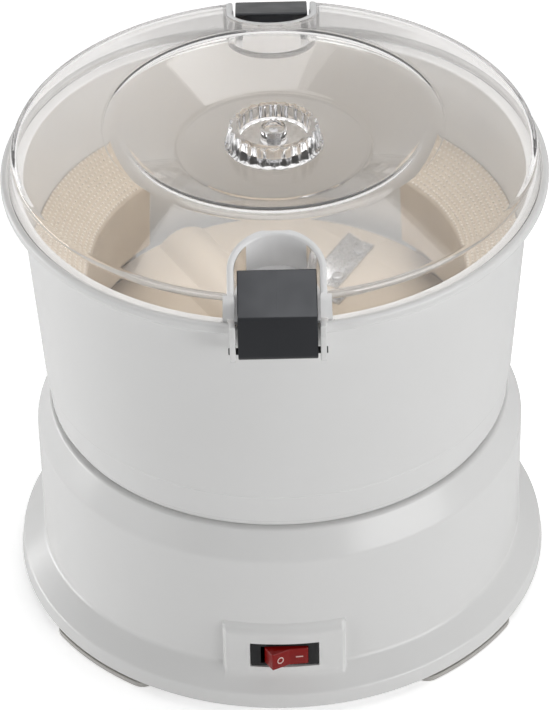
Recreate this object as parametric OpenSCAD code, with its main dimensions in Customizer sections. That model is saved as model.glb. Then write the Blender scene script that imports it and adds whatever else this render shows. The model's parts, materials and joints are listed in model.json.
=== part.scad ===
// Electric potato peeler.
// A geared base with a rocker switch carries a lift-off bowl. A disc with blades turns in the
// bowl, between two ribbed side panels. A clear lid with a fluted knob is held by two clips.
// The feet stand on z = 0. The switch and the front clip face -Y, the cord gland faces +Y.

/* [Base housing] */
// Radius of the upright base wall
base_r = 116; // [114:0.5:125]
// Thickness of the housing wall
base_wall = 2.5; // [2:0.1:3.5]
// How far the flange stands out from the wall
flange_reach = 12; // [8:0.5:16]
// Height of the upright edge of the flange
flange_edge_h = 7.3; // [5:0.1:10]
// Height of the sloping top of the flange
flange_slope_h = 9.4; // [7:0.1:12]
// Height of the upright wall above the flange bottom
wall_h = 79; // [76:0.5:95]
// Height of the sloping shoulder
shoulder_h = 14.5; // [10:0.5:20]
// How far the shoulder slopes inwards
shoulder_in = 6.8; // [5:0.1:8]
// Thickness of the bottom cover
cover_t = 3; // [2:0.5:4]
// Height of the feet
foot_h = 4; // [2.5:0.5:8]
// Radial width of the feet
foot_w = 13; // [8:1:16]
// Angle that one foot covers
foot_sweep = 29; // [15:1:40]

/* [Switch] */
// Width of the raised pad round the switch
pad_w = 58; // [44:1:70]
// Height of the raised pad
pad_h = 28.5; // [24:0.5:40]
// Height of the pad's lower edge above the flange bottom
pad_low = 13; // [12:0.5:16]
// How far the pad stands out from the wall
pad_out = 3.6; // [3:0.1:5]
// Width of the switch bezel
bezel_w = 31.5; // [30.5:0.5:36]
// Height of the switch bezel
bezel_h = 13.6; // [13:0.1:16]
// Thickness of the switch bezel
bezel_t = 1.6; // [1.2:0.1:2.2]
// Depth of the switch body behind the bezel
switch_depth = 22; // [19:1:28]
// Tilt of the rocker to each side of its middle
rocker_tilt = 16; // [10:1:18]

/* [Drive] */
// Module of the first gear pair
mod_1 = 1; // [0.9:0.05:1.1]
// Module of the second gear pair
mod_2 = 1.25; // [1.15:0.05:1.35]
// Teeth of the motor pinion
pinion_teeth = 12; // [12:1:14]
// Teeth of the idler's large gear
idler_teeth = 48; // [44:1:52]
// Teeth of the idler's small gear
idler_pinion_teeth = 14; // [13:1:16]
// Teeth of the main gear
main_teeth = 56; // [52:1:60]
// Face width of the main gear
main_gear_w = 8; // [6:0.5:9]
// Face width of the idler's large gear
idler_gear_w = 6; // [4:0.5:7]
// Radius of the motor can
motor_r = 28; // [26:0.5:30]
// Height of the motor can
motor_h = 48; // [44:1:50]
// Radius of the motor shaft
motor_shaft_r = 2.5; // [2:0.25:3]
// Radius of the output shaft
output_r = 5; // [4.5:0.25:6]
// Radius of the idler axle
axle_r = 2.5; // [2:0.25:3]
// Thickness of the gear plate
plate_t = 4; // [3:0.5:5]

/* [Bowl] */
// Height of the bowl from its foot band to the top of its lip
bowl_h = 122.7; // [110:0.5:160]
// Outer radius of the bowl at the foot band
bowl_foot_r = 108.5; // [106:0.5:110]
// Outer radius of the bowl under its lip
bowl_top_r = 117; // [115:0.5:119]
// Wall thickness of the bowl
bowl_wall = 2.5; // [2:0.1:3]
// Height of the foot band
band_h = 15.2; // [10:0.5:20]
// Radius of the lip
lip_r = 125; // [124:0.5:128]
// Height of the lip
lip_h = 5.3; // [4:0.1:8]
// Height of the groove between base and bowl
groove_h = 3.5; // [2:0.5:6]
// Radius of the disc spindle
spindle_r = 4; // [3.5:0.25:4.5]

/* [Peeling disc and panels] */
// Radius of the peeling disc
disc_r = 98; // [90:1:99]
// Thickness of the peeling disc
disc_t = 3; // [2.5:0.5:4]
// Height of the disc's ridges
ridge_h = 6; // [4:0.5:8]
// Number of ridges, and of blades between them
blade_count = 3; // [2:1:4]
// Angle that one side panel covers
panel_sweep = 90; // [60:5:90]
// Height of the panel's top edge below the lip
panel_drop = 39.7; // [30:0.5:50]
// How far the panel stands into the bowl
panel_reach = 25; // [16:1:28]
// Wall thickness of the side panels
panel_t = 2.2; // [1.6:0.1:3]

/* [Lid and knob] */
// Radius of the lid at its top edge
lid_r = 119.6; // [118:0.1:121]
// Height of the lid's skirt above the lip
skirt_h = 12.4; // [8:0.1:18]
// Slope of the lid from its edge to the raised ring
lid_slope = 14.7; // [10:0.1:18]
// Wall thickness of the lid
lid_t = 2.6; // [2:0.1:3]
// Middle radius of the raised ring
ring_r = 73; // [66:0.5:76]
// Width of the raised ring
ring_w = 10; // [8:0.5:12]
// Radius of the flat middle of the lid
dish_r = 44; // [36:1:50]
// Depth of the dish below the raised ring
dish_depth = 13.2; // [10:0.2:16]
// Radius of the knob at its foot
knob_r = 22.5; // [20:0.5:28]
// Height of the knob
knob_h = 9.7; // [8:0.1:14]
// Number of flutes on the knob
knob_flutes = 24; // [16:1:30]

/* [Clips] */
// Width of a clip
clip_w = 34.4; // [28:0.2:36]
// Thickness of a clip
clip_t = 3; // [2.5:0.1:3.5]
// How far the clip's top plate reaches over the lid
clip_reach = 23.3; // [20:0.1:26]
// Height of the clip's fold above its pin
clip_rise = 20; // [18:0.1:21]
// Radius of the hinge pins
pin_r = 1.5; // [1.25:0.05:1.8]
// Thickness of the ears that hold a pin
ear_t = 2.6; // [2:0.1:4]
// Wall thickness of the clip pockets in the lid
pocket_wall = 3; // [2:0.1:4]

/* [Fits] */
// Gap round pieces that turn or lift
run_gap = 0.3; // [0.2:0.05:0.6]
// Gap of a shaft in its bush, measured on the radius
shaft_gap = 0.05; // [0.02:0.01:0.1]
// Thinning of each gear tooth, for backlash
backlash = 0.1; // [0.07:0.01:0.2]

/* [Hidden] */
$fn = 96;
white_plastic = "whitesmoke";
grey_plastic = "dimgray";
steel = "silver";
eps = 0.01;            // overlap of solids that are joined, and of cuts past a face
press_angle = 25;      // pressure angle of the gears
addendum = 0.95;       // tooth height above the pitch circle, in modules
dedendum = 1.25;       // tooth depth below the pitch circle, in modules
flank_steps = 4;       // straight runs along one tooth flank
arc_steps = 8;         // straight runs along one rounded outline

// Heights from the table up
z_flange = foot_h;
z_cover = z_flange + cover_t;
z_slope = z_flange + flange_edge_h;
z_wall = z_slope + flange_slope_h;
z_shoulder = z_flange + wall_h;
z_deck = z_shoulder + shoulder_h;
z_ceil = z_deck - base_wall;
z_bowl = z_deck + groove_h;
z_lip = z_bowl + bowl_h;
floor_lift = 3;        // height of the bowl floor above the lower edge of its band
floor_t = 3;           // thickness of the bowl floor
z_floor = z_bowl + floor_lift + floor_t;
rebate = 2.5;          // depth of the lip's rebate that centres the lid
z_rebate = z_lip - rebate;

// Housing
flange_r = base_r + flange_reach;
edge_draft = 1;        // draft of the flange's upright edge
edge_round = 1.2;      // bevel of the housing's outer edges
deck_r = base_r - shoulder_in;
post_r = 5;            // radius of the screw posts
post_inset = 10;       // gap between the housing wall and its screw posts
post_ring = base_r - base_wall - post_r - post_inset;
boss_wall = 3;         // wall of the bosses round bushes and axles
foot_inset = 1;        // step from the flange's edge in to the feet
foot_out_r = flange_r - foot_inset;
foot_in_r = foot_out_r - foot_w;
foot_bevel = foot_h / 4;
vent_pitch = 6;        // distance between the vent slots under the motor
vent_w = 3;            // width of a vent slot
vent_side = 3;         // vent slots to each side of the middle one
vent_l = 1.4 * motor_r;
small_bevel = 0.5;     // bevel of small edges
screw_r = 1.5;         // radius of the screw threads
screw_head_r = 3.2;    // radius of the screw heads
screw_head_h = 1.6;    // height of the screw heads
screw_bite = 10;       // depth of a screw in its post
screw_gap = 0.1;       // gap between a screw and its pilot hole
key_w = 6;             // width of the keys that stop the bowl from turning
key_l = 5;             // radial length of a key
key_h = 4;             // height of a key
key_count = 3;

// Switch, measured outwards from its pivot
rocker_rise = 8;       // height of the rocker's middle above its pivot
rocker_half = 8.6;     // half length of the rocker's face
rocker_dish = 10.5;    // slope of each half of the rocker's face
bezel_rim = 2.1;       // width of the bezel beside the rocker
rocker_h = bezel_h - 2 * bezel_rim;
rocker_side = 10;      // slope of the rocker's end walls
rocker_drop = 6.7;     // height of the end walls
rocker_keel = 3;       // depth of the rocker below its pivot
rocker_keel_half = 5;  // half length of the rocker's keel
pivot_r = 1;           // radius of the rocker's pivots
pivot_l = 0.9;         // length of the rocker's pivots
window_half = 11.1;    // half length of the window that the rocker swings in
window_depth = 11;     // depth of that window
pad_recess = 2.6;      // depth of the pad's recess for the bezel
recess_gap = 0.3;      // gap round the bezel in its recess
body_trim = 1.4;       // step from the bezel's edge to the switch body
pivot_depth = 5.6;     // depth of the pivot below the bezel's face
tab_w = 4.8;           // width of a switch terminal
tab_t = 0.8;           // thickness of a switch terminal
tab_l = 7;             // length of a switch terminal
tab_pitch = 9;         // distance between the switch terminals
y_recess = -(base_r + pad_out - pad_recess);
y_bezel = y_recess - bezel_t;
y_pivot = y_bezel + pivot_depth;
y_switch_back = y_recess + switch_depth;
switch_up = 12.5;      // height of the switch's middle above the pad's lower edge
z_switch = z_flange + pad_low + switch_up;

// Gears: the main gear turns on the Z axis, the idler and the motor stand in line along -X
pair_1 = mod_1 * (pinion_teeth + idler_teeth) / 2;
pair_2 = mod_2 * (idler_pinion_teeth + main_teeth) / 2;
x_idler = -pair_2;
x_motor = x_idler - pair_1;
gear_gap = 1;          // gap between gears that pass each other
main_gap = 4;          // gap between the main gear and the underside of the deck
z_main = z_ceil - main_gap - main_gear_w;
z_idler = z_main - gear_gap - idler_gear_w;
plate_gap = 2;         // gap between the idler gear and the gear plate
z_plate = z_idler - plate_gap - plate_t;
hub_r = 8;             // radius of the main gear's hub
hub_h = z_main - z_plate - plate_t - run_gap;
bush_wall = 3;         // wall of the output bushes
bush_r = output_r + shaft_gap + bush_wall;
bush_down = 6;         // depth of the lower bush below the gear plate
deck_boss_r = bush_r + boss_wall;
deck_boss_up = 2.5;    // height of the deck boss above the deck
deck_boss_down = 3.5;  // depth of the deck boss below the deck
dog_lift = 1;          // gap between the drive dog and the deck boss
z_dog = z_deck + deck_boss_up + dog_lift;
dog_h = 8;             // height of the drive dog
dog_flat = 14;         // width of the drive dog across its flats
dog_gap = 0.25;        // gap between the drive dog and its socket
shaft_tail = 8;        // length of the output shaft below the gear plate
z_shaft_end = z_plate - shaft_tail;
retainer_t = 1;        // thickness of the output shaft's retaining ring
retainer_w = 2;        // radial width of that ring
web_holes = 6;         // holes in the main gear's web
web_hole_r = 6;        // radius of those holes
web_ring = (hub_r + mod_2 * main_teeth / 2 - 3) / 2;
plate_boss_r = bush_r + boss_wall;
plate_margin = 10;     // rim of the gear plate outside its screws
plate_screw_x = [x_motor - 16, 24];
plate_screw_y = 42;
motor_screw_y = 16;

// Motor
can_wall = 1.5;
can_top_t = 3;
z_can = z_plate - motor_h;
bell_t = 3;
bell_spigot = 3;       // depth of the end bell inside the can
motor_bush_r = 5;
motor_bush_h = 6;
motor_boss_r = 8;
motor_boss_h = 2.5;
bell_boss_h = 5;
magnet_t = 4.5;
magnet_sweep = 130;
armature_gap = 0.8;
armature_r = motor_r - can_wall - magnet_t - armature_gap;
armature_h = 22;
armature_slots = 8;
slot_w = 3;
slot_depth = 4;
armature_up = 17;      // height of the armature above the can's lower edge
z_armature = z_can + armature_up;
commutator_r = 8;
commutator_h = 7;
commutator_gap = 3;    // gap between the commutator and the armature
z_commutator = z_armature - commutator_gap - commutator_h;
brush_w = 4;
brush_t = 4;           // height of a brush
brush_gap = 0.3;
brush_l = 9;
z_brush = z_commutator + (commutator_h - brush_t) / 2;
bell_wall = 3;         // wall of the end bell's spigot
bell_boss_wall = 2.5;  // wall of the end bell's boss
motor_head_r = 2.7;    // radius of the motor screws' heads
fan_t = 1.5;
fan_blade_h = 2;
fan_blades = 10;
fan_blade_w = 1.2;
fan_gap = 2;           // gap between the armature and the fan
fan_over = 2;          // how far the fan reaches past the armature
fan_root = 4;          // gap between the shaft and the fan's blades
z_fan = z_armature + armature_h + fan_gap;

// Electric pieces
gland_r = 7;           // radius of the gland's body
gland_bore = 3.6;      // radius of the gland's hole for the cord
gland_flange_r = 9.5;
gland_flange_t = 2.5;
gland_l = 14;          // length of the gland behind its flange
gland_boss_r = 11;
gland_boss_l = 8;      // depth of the gland's boss inside the wall's outer face
gland_boss_out = 1;    // how far the boss stands out from the wall
gland_up = 4;          // gap between the gland's boss and the flange's slope
z_gland = z_wall + edge_round + gland_boss_r + gland_up;
y_gland = base_r + gland_boss_out;
block_w = 22;
block_d = 12;
block_h = 12;
block_gap = 20;        // room for the cord between the gland and the terminal block
y_block = y_gland - gland_l - block_gap;
port_r = 2;            // radius of the terminal block's screw ports
standoff_h = 6;
standoff_r = 3;
block_standoff_r = 5;
standoff_inset = 4;    // gap between a standoff's middle and the board's end
board_w = 30;
board_d = 44;
board_t = 1.6;
x_board = 52;
bridge_size = 15;      // side of the rectifier bridge
bridge_h = 6;
capacitor_r = 5;
capacitor_h = 14;
lead_r = 1.1;
lead_sides = 8;
z_board = z_cover + standoff_h;
lead_up = 3;           // height of the leads above the bottom cover
z_lead = z_cover + lead_up;

// Bowl
band_step = 0.7;       // step from the foot band to the wall above it
ring_in = 3;           // how far the bowl's foot ring stands inside the band
ring_t = 2.5;          // thickness of the bowl's foot ring
lip_wall = 3.2;        // width of the lip's rim outside the rebate
lip_round = 1.4;       // rounding of the lip's outer edges
seat_bevel = 0.6;      // bevel that leads the lid into the rebate
seat_r = lip_r - lip_wall;
wall_curve = 3;        // height of the fillet under the lip
band_flare = 1.1;      // how far the foot band flares out to its top
floor_round = 4;       // fillet between the bowl's floor and wall
foot_wall_r = bowl_foot_r + band_flare;
z_band = z_bowl + band_h;
z_wall_top = z_lip - lip_h - wall_curve;
chimney_room = 9;      // room round the drive dog inside the chimney, with its wall
chimney_r = dog_flat / 2 / cos(30) + chimney_room;
chimney_wall = 2.5;
chimney_bevel = 2;
socket_side = 1.5;     // gap between the drive socket and the chimney
socket_r = chimney_r - chimney_wall - socket_side;
dog_rest = 0.5;        // gap under the socket when it stands over the dog
z_socket = z_dog + dog_rest;
socket_top_t = 4;      // thickness of the socket above the drive dog
socket_h = dog_h + socket_top_t;
chimney_top_t = 3;     // thickness of the chimney's top, which holds the bush
z_chimney = z_socket + socket_h + chimney_top_t;
spindle_bush_r = spindle_r + shaft_gap + bush_wall;
tube_r = spindle_bush_r + boss_wall;
tube_h = 13;
seal_h = 3.5;
spindle_bush_h = tube_h - seal_h;

// Disc: a flat plate, a dome over the chimney and a nut on top
disc_drop = 2;         // depth of the disc's underside below the chimney's top
z_disc = z_chimney - disc_drop;
disc_hole_r = chimney_r + 5;
dome_r = tube_r + 3;
dome_t = 4;
z_dome = z_chimney + tube_h + dome_t + 1;
hex_r = spindle_r * 0.9;
nut_r = 11;
nut_h = 11;
nut_ribs = 12;
ridge_w = 26;
ridge_in = disc_hole_r + dome_r - tube_r + 6;
ridge_out = disc_r - 3;
blade_l = 40;
blade_w = 14;
blade_t = 1;
blade_lift = 3;
blade_r = (ridge_in + ridge_out) / 2 + 4;
rivet_r = 1.6;
rivet_head_r = 2.8;
rivet_head_h = 1;
rivet_pitch = 24;

// Panels
z_panel_top = z_lip - panel_drop;
z_panel_low = z_disc + disc_t + ridge_h + 4;
panel_slope = 34;      // slope of the panel's ribbed face
panel_lean = 2;        // lean of the panel's lower face
panel_ribs = 6;
rib_h = 1.1;
disc_gap = 1.5;        // gap between the disc and the panels' legs

// Lid
z_skirt = z_rebate + run_gap;
z_edge = z_lip + skirt_h;
skirt_flare = 1.9;     // how far the skirt flares out below the top edge
ring_h = 1.4;          // height of the ring above its two edges
ring_arc_r = ring_w * ring_w / 8 / ring_h + ring_h / 2;
ring_arc_a = asin(ring_w / 2 / ring_arc_r);
lid_round = 2;         // size of the rounding at the lid's top edge
z_ring = z_edge + (lid_r - ring_r - ring_w / 2) * tan(lid_slope);
z_dish = z_ring - dish_depth;
dish_rise = 1;         // rise from the dish's edge to its middle
z_middle = z_dish + dish_rise;
knob_top_r = 0.9;      // top radius of the knob as a share of its foot
knob_wall = 3.8;
knob_floor = 2;
knob_boss_r = 6;
knob_boss_h = 8.5;
flute_depth = 1.2;
foot_step = 0.4;       // step from the knob's foot in to the flutes
flute_r = knob_r - foot_step;
knob_foot_h = 0.8;
knob_screw_r = 2;
knob_head_r = 4;
knob_head_h = 2.4;

// Clips: measured from the pin, outwards and upwards
ear_gap = 1.05;        // gap between a clip and each ear
ear_in = clip_w / 2 + ear_gap;
pin_end = 0.6;         // how far a hinge pin stands out of each ear
pin_out = 1;           // distance of the pin outside the lip's radius
pin_at_r = lip_r + pin_out;
pin_drop = 11.2;       // depth of the pin below the top of the lip
z_pin = z_lip - pin_drop;
knuckle_wall = 2.2;    // wall of a clip's knuckle round its pin
knuckle_r = pin_r + knuckle_wall;
ear_low = 6.5;         // depth of an ear below the pin
ear_foot = 3;          // how far an ear's foot stands out from the wall
ear_round = 5;         // rounding of an ear below its pin
ear_round_in = 1;      // how far inside the pin that rounding is centred
ear_round_down = 0.5;  // how far below the pin it is centred
ear_high = 13.5;       // height of an ear above the pin
ear_shoulder = 9;      // height at which an ear starts to narrow
ear_nose = 3.4;        // how far an ear stands out past its pin
ear_tip = 1.5;         // the same at the ear's top
ear_back = 1;          // how far an ear's top stays clear of the lid
lip_cut_low = 9;       // depth below the pin of the lip's cut for a clip
clip_lean = 2.4;       // how far the clip's face leans in at its fold
clip_roof = 14.5;      // slope of the clip's top plate
hook_h = 4;            // depth of the clip's inner lip
z_fold = z_pin + clip_rise;
clip_in_r = pin_at_r - clip_reach;
clip_bevel = 0.8;      // bevel of a clip's outer edges
hook_bevel = 0.5;      // bevel of its hook
fold_bevel = 0.6;      // bevel inside its fold
fold_rise = 0.3;       // rise of its top plate over that outer bevel
pocket_gap = 1.3;      // gap between a clip and each pocket wall
pocket_in = clip_w / 2 + pocket_gap;
pocket_out = pocket_in + pocket_wall;
pocket_room = 20.2;    // room for a fingertip between the clip's hook and the pocket
pocket_apex = clip_in_r - pocket_room;
pocket_c = pocket_apex + pocket_out;
pocket_floor_t = 2.4;
pocket_fall = 7.5;     // slope of the pocket's floor
z_pocket = z_skirt + pocket_floor_t + (lid_r - pocket_apex) * tan(pocket_fall);
catch_w = 22;
catch_t = 2.4;
catch_back = 0.3;      // gap between the catch and the hook's inner edge
cut_back = 1.5;        // wall left behind the lip's cut for a clip
cut_back_r = bowl_top_r + cut_back;

function polar(r, a) = [r * cos(a), r * sin(a)];
function arc(c, r, a0, a1, n = arc_steps) =
  [for (i = [0:n]) c + polar(r, a0 + (a1 - a0) * i / n)];
function involute(a) = tan(a) * 180 / PI - a;

// Half the angle of a tooth at radius r
function tooth_half(m, n, r) =
  let (rp = m * n / 2, rb = rp * cos(press_angle))
    90 / n - backlash / 2 / rp * 180 / PI
    + involute(press_angle) - involute(acos(rb / max(rb, r)));

// Outline of a spur gear with a tooth on the +X axis
function gear_outline(m, n) =
  let (
    rp = m * n / 2,
    rb = rp * cos(press_angle),
    ra = rp + addendum * m,
    rr = rp - dedendum * m,
    r0 = max(rb, rr),
    rs = concat([rr], [for (k = [0:flank_steps]) r0 + eps + (ra - r0 - eps) * k / flank_steps])
  )
    [for (i = [0:n - 1]) each concat(
      [for (r = rs) polar(r, 360 * i / n - tooth_half(m, n, r))],
      [for (k = [len(rs) - 1:-1:0]) polar(rs[k], 360 * i / n + tooth_half(m, n, rs[k]))]
    )];

// Turn of a gear on the -X side of its mate, so that the teeth mesh at rest
function mesh_turn(mate, n) = mate % 2 == 0 ? 180 / n : 0;

module spur(m, n, w, turn = 0) {
  rotate([0, 0, turn]) linear_extrude(height = w) polygon(gear_outline(m, n));
}

// Turns a shape that is modelled along +X to face -Y, and again to face +Y
module at_front() {
  rotate([0, 0, -90]) children();
}

module at_back() {
  rotate([0, 0, 90]) children();
}

// Extrudes a side view, given as [distance outwards, height], over a width
module side_view(points, w) {
  rotate([90, 0, 0]) linear_extrude(height = w, center = true) polygon(points);
}

module tube(r_out, r_in, h) {
  difference() {
    cylinder(r = r_out, h = h);
    translate([0, 0, -1]) cylinder(r = r_in, h = h + 2);
  }
}

module hex(flat, h) {
  cylinder(r = flat / 2 / cos(30), h = h, $fn = 6);
}

module centred_box(size) {
  translate([-size[0] / 2, -size[1] / 2, 0]) cube(size);
}

// A screw with its head below and its thread upwards from z = 0
module screw(r, head_r, head_h, l) {
  translate([0, 0, -head_h / 2]) cylinder(r = r, h = l + head_h / 2);
  translate([0, 0, -head_h]) cylinder(r = head_r, h = head_h);
}

module round_post(p, z0, z1, r) {
  translate([p[0], p[1], z0]) cylinder(r = r, h = z1 - z0);
}

function post_at(i) = polar(post_ring, 45 + 90 * i);

// ---------------------------------------------------------------- base housing

function housing_outline() = [
  [flange_r, z_flange],
  [flange_r - edge_draft, z_slope - edge_round],
  [flange_r - edge_draft - edge_round, z_slope],
  [base_r + edge_round, z_wall - edge_round],
  [base_r, z_wall + edge_round],
  [base_r, z_shoulder - edge_round],
  [base_r - edge_round / 2, z_shoulder + edge_round],
  [deck_r, z_deck - edge_round],
  [deck_r - edge_round, z_deck],
  [0, z_deck],
  [0, z_ceil],
  [deck_r - base_wall, z_ceil],
  [base_r - base_wall, z_shoulder],
  [base_r - base_wall, z_wall],
  [flange_r - edge_draft - base_wall, z_slope - base_wall],
  [flange_r - edge_draft - base_wall, z_flange]
];

module switch_pad() {
  intersection() {
    translate([0, 0, z_flange + pad_low])
      tube(base_r + pad_out, base_r - base_wall, pad_h);
    translate([-pad_w / 2, -base_r - 2 * pad_out, 0]) cube([pad_w, base_r / 2, z_deck]);
  }
}

module switch_cut() {
  w = bezel_w + 2 * recess_gap;
  h = bezel_h + 2 * recess_gap;
  translate([-w / 2, y_recess - 2 * pad_out, z_switch - h / 2]) cube([w, 2 * pad_out, h]);
  bw = bezel_w - 2 * body_trim + 2 * recess_gap;
  bh = bezel_h - 2 * body_trim + 2 * recess_gap;
  translate([-bw / 2, y_recess - 1, z_switch - bh / 2]) cube([bw, 4 * base_wall + pad_out, bh]);
}

module bowl_keys(gap) {
  for (i = [0:key_count - 1])
    rotate([0, 0, 30 + 360 / key_count * i])
      translate([bowl_foot_r - ring_in - ring_t - key_l / 2 - gap, -key_w / 2 - gap, z_deck - eps])
        cube([key_l + 2 * gap, key_w + 2 * gap, key_h + gap]);
}

function plate_screw_at(i) =
  [plate_screw_x[i % 2], (i < 2 ? 1 : -1) * plate_screw_y];

module base_housing() {
  color(white_plastic) difference() {
    union() {
      rotate_extrude() polygon(housing_outline());
      switch_pad();
      bowl_keys(0);
      for (i = [0:3]) {
        round_post(post_at(i), z_cover, z_ceil + eps, post_r);
        round_post(plate_screw_at(i), z_plate + plate_t, z_ceil + eps, post_r);
      }
      round_post([0, 0], z_ceil - deck_boss_down, z_deck + deck_boss_up, deck_boss_r);
      round_post([x_idler, 0], z_ceil - deck_boss_down, z_ceil + eps, axle_r + boss_wall);
      translate([0, base_r - gland_boss_l, z_gland]) rotate([-90, 0, 0])
        cylinder(r = gland_boss_r, h = gland_boss_l + gland_boss_out);
    }
    switch_cut();
    for (i = [0:3]) {
      round_post(post_at(i), z_cover - 1, z_cover + screw_bite + 1, screw_r + screw_gap);
      round_post(plate_screw_at(i), z_plate, z_plate + plate_t + screw_bite + 1,
        screw_r + screw_gap);
    }
    round_post([0, 0], z_ceil - deck_boss_down - 1, z_deck + deck_boss_up + 1, bush_r);
    round_post([x_idler, 0], z_ceil - deck_boss_down - 1, z_ceil, axle_r);
    translate([0, base_r - gland_boss_l - 1, z_gland]) rotate([-90, 0, 0])
      cylinder(r = gland_r, h = gland_boss_l + gland_boss_out + 2);
  }
}

module bottom_cover() {
  cover_r = flange_r - edge_draft - base_wall - run_gap;
  color(white_plastic) difference() {
    union() {
      round_post([0, 0], z_flange, z_cover, cover_r);
      for (s = [-1, 1])
        round_post([x_board + s * (board_w / 2 - standoff_inset), 0], z_cover - eps, z_board,
          standoff_r);
      round_post([0, y_block], z_cover - eps, z_board, block_standoff_r);
    }
    for (i = [0:3]) {
      round_post(post_at(i), z_flange - 1, z_cover + 1, screw_r + screw_gap);
      round_post(post_at(i), z_flange - 1, z_flange + screw_head_h + screw_gap,
        screw_head_r + screw_gap);
    }
    for (i = [-vent_side:vent_side])
      translate([x_motor + vent_pitch * i, 0, z_flange - 1])
        centred_box([vent_w, vent_l, cover_t + 2]);
  }
}

module foot_pads() {
  color("gainsboro") for (i = [0:3])
    rotate([0, 0, 45 + 90 * i - foot_sweep / 2]) rotate_extrude(angle = foot_sweep)
      polygon([
        [foot_in_r + foot_bevel, 0],
        [foot_out_r - foot_bevel, 0],
        [foot_out_r, foot_bevel],
        [foot_out_r, z_flange],
        [foot_in_r, z_flange],
        [foot_in_r, foot_bevel]
      ]);
}

module cover_screws() {
  color(steel) for (i = [0:3])
    translate([post_at(i)[0], post_at(i)[1], z_flange + screw_head_h])
      screw(screw_r, screw_head_r, screw_head_h, cover_t + screw_bite - screw_head_h);
}

// ---------------------------------------------------------------- switch

module switch_window() {
  h = rocker_h + 2 * run_gap;
  translate([-window_half, y_bezel - 1, z_switch - h / 2])
    cube([2 * window_half, window_depth + 1, h]);
  translate([0, y_pivot, z_switch - rocker_h / 2 - pivot_l - run_gap])
    cylinder(r = pivot_r + shaft_gap, h = rocker_h + 2 * (pivot_l + run_gap));
}

module switch_body() {
  bw = bezel_w - 2 * body_trim;
  bh = bezel_h - 2 * body_trim;
  color("#202224") difference() {
    union() {
      translate([-bezel_w / 2, y_bezel, z_switch - bezel_h / 2])
        cube([bezel_w, bezel_t, bezel_h]);
      translate([-bw / 2, y_recess - eps, z_switch - bh / 2]) cube([bw, switch_depth, bh]);
    }
    switch_window();
  }
}

function tab_x(i) = (i - 1) * tab_pitch;

module switch_terminals() {
  color("goldenrod") for (i = [0:2])
    translate([tab_x(i) - tab_w / 2, y_switch_back, z_switch - tab_t / 2])
      cube([tab_w, tab_l, tab_t]);
}

// The rocker in the middle of its travel, [along, outwards from the pivot]
function rocker_outline() =
  let (
    top = rocker_rise + rocker_half * tan(rocker_dish),
    foot = rocker_half + rocker_drop * tan(rocker_side)
  ) [
    [0, rocker_rise],
    [rocker_half, top],
    [foot, top - rocker_drop],
    [rocker_keel_half, -rocker_keel],
    [-rocker_keel_half, -rocker_keel],
    [-foot, top - rocker_drop],
    [-rocker_half, top]
  ];

module switch_rocker() {
  color("red") translate([0, y_pivot, z_switch]) rotate([0, 0, rocker_tilt]) {
    mirror([0, 1, 0]) linear_extrude(height = rocker_h, center = true)
      polygon(rocker_outline());
    cylinder(r = pivot_r, h = rocker_h + 2 * pivot_l, center = true);
  }
}

// ---------------------------------------------------------------- electric pieces

module cord_gland() {
  color("#202224") difference() {
    union() {
      translate([0, y_gland, z_gland]) rotate([-90, 0, 0])
        cylinder(r = gland_flange_r, h = gland_flange_t);
      translate([0, y_gland - gland_l, z_gland]) rotate([-90, 0, 0])
        cylinder(r = gland_r, h = gland_l + eps);
    }
    translate([0, y_gland - gland_l - 1, z_gland]) rotate([-90, 0, 0])
      cylinder(r = gland_bore, h = gland_l + gland_flange_t + 2);
  }
}

module terminal_block() {
  color("ivory") difference() {
    translate([0, y_block, z_board]) centred_box([block_w, block_d, block_h]);
    for (x = [-block_w / 4, block_w / 4])
      round_post([x, y_block], z_board + block_h / 2, z_board + block_h + 1, port_r);
  }
}

module rectifier_board() {
  color("seagreen") translate([x_board, 0, z_board]) {
    centred_box([board_w, board_d, board_t]);
    translate([0, -board_d / 4, board_t - eps]) centred_box([bridge_size, bridge_size, bridge_h]);
    translate([0, board_d / 4, board_t - eps]) cylinder(r = capacitor_r, h = capacitor_h);
  }
}

// Ring of points moved along d into the plane through p with the normal n
function moved_ring(ring, p, d, n) = [for (q = ring) q + d * ((p - q) * n) / (d * n)];

function along(points, k) = (points[k + 1] - points[k]) / norm(points[k + 1] - points[k]);

// Rings of a tube along a list of points, each in the plane that halves its bend
function lead_rings(points, ring, k = 1) =
  let (
    last = k == len(points) - 1,
    d = along(points, k - 1),
    n = last ? d : d + along(points, k),
    next = moved_ring(ring, points[k], d, n)
  )
    last ? [next] : concat([next], lead_rings(points, next, k + 1));

// A lead along a list of points
module lead(points) {
  d = along(points, 0);
  side = abs(d[2]) > 0.7 ? [1, 0, 0] : [0, 0, 1];
  u = cross(d, side) / norm(cross(d, side));
  v = cross(d, u);
  n = lead_sides;
  first = [for (i = [0:n - 1])
    points[0] + lead_r * (cos(360 * i / n) * u + sin(360 * i / n) * v)];
  rings = concat([first], lead_rings(points, first));
  last = (len(rings) - 1) * n;
  polyhedron(
    points = [for (r = rings) each r],
    faces = concat(
      [[for (i = [n - 1:-1:0]) i]],
      [[for (i = [0:n - 1]) last + i]],
      [for (k = [0:len(rings) - 2]) for (i = [0:n - 1])
        [k * n + i, k * n + (i + 1) % n, (k + 1) * n + (i + 1) % n, (k + 1) * n + i]]
    )
  );
}

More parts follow.
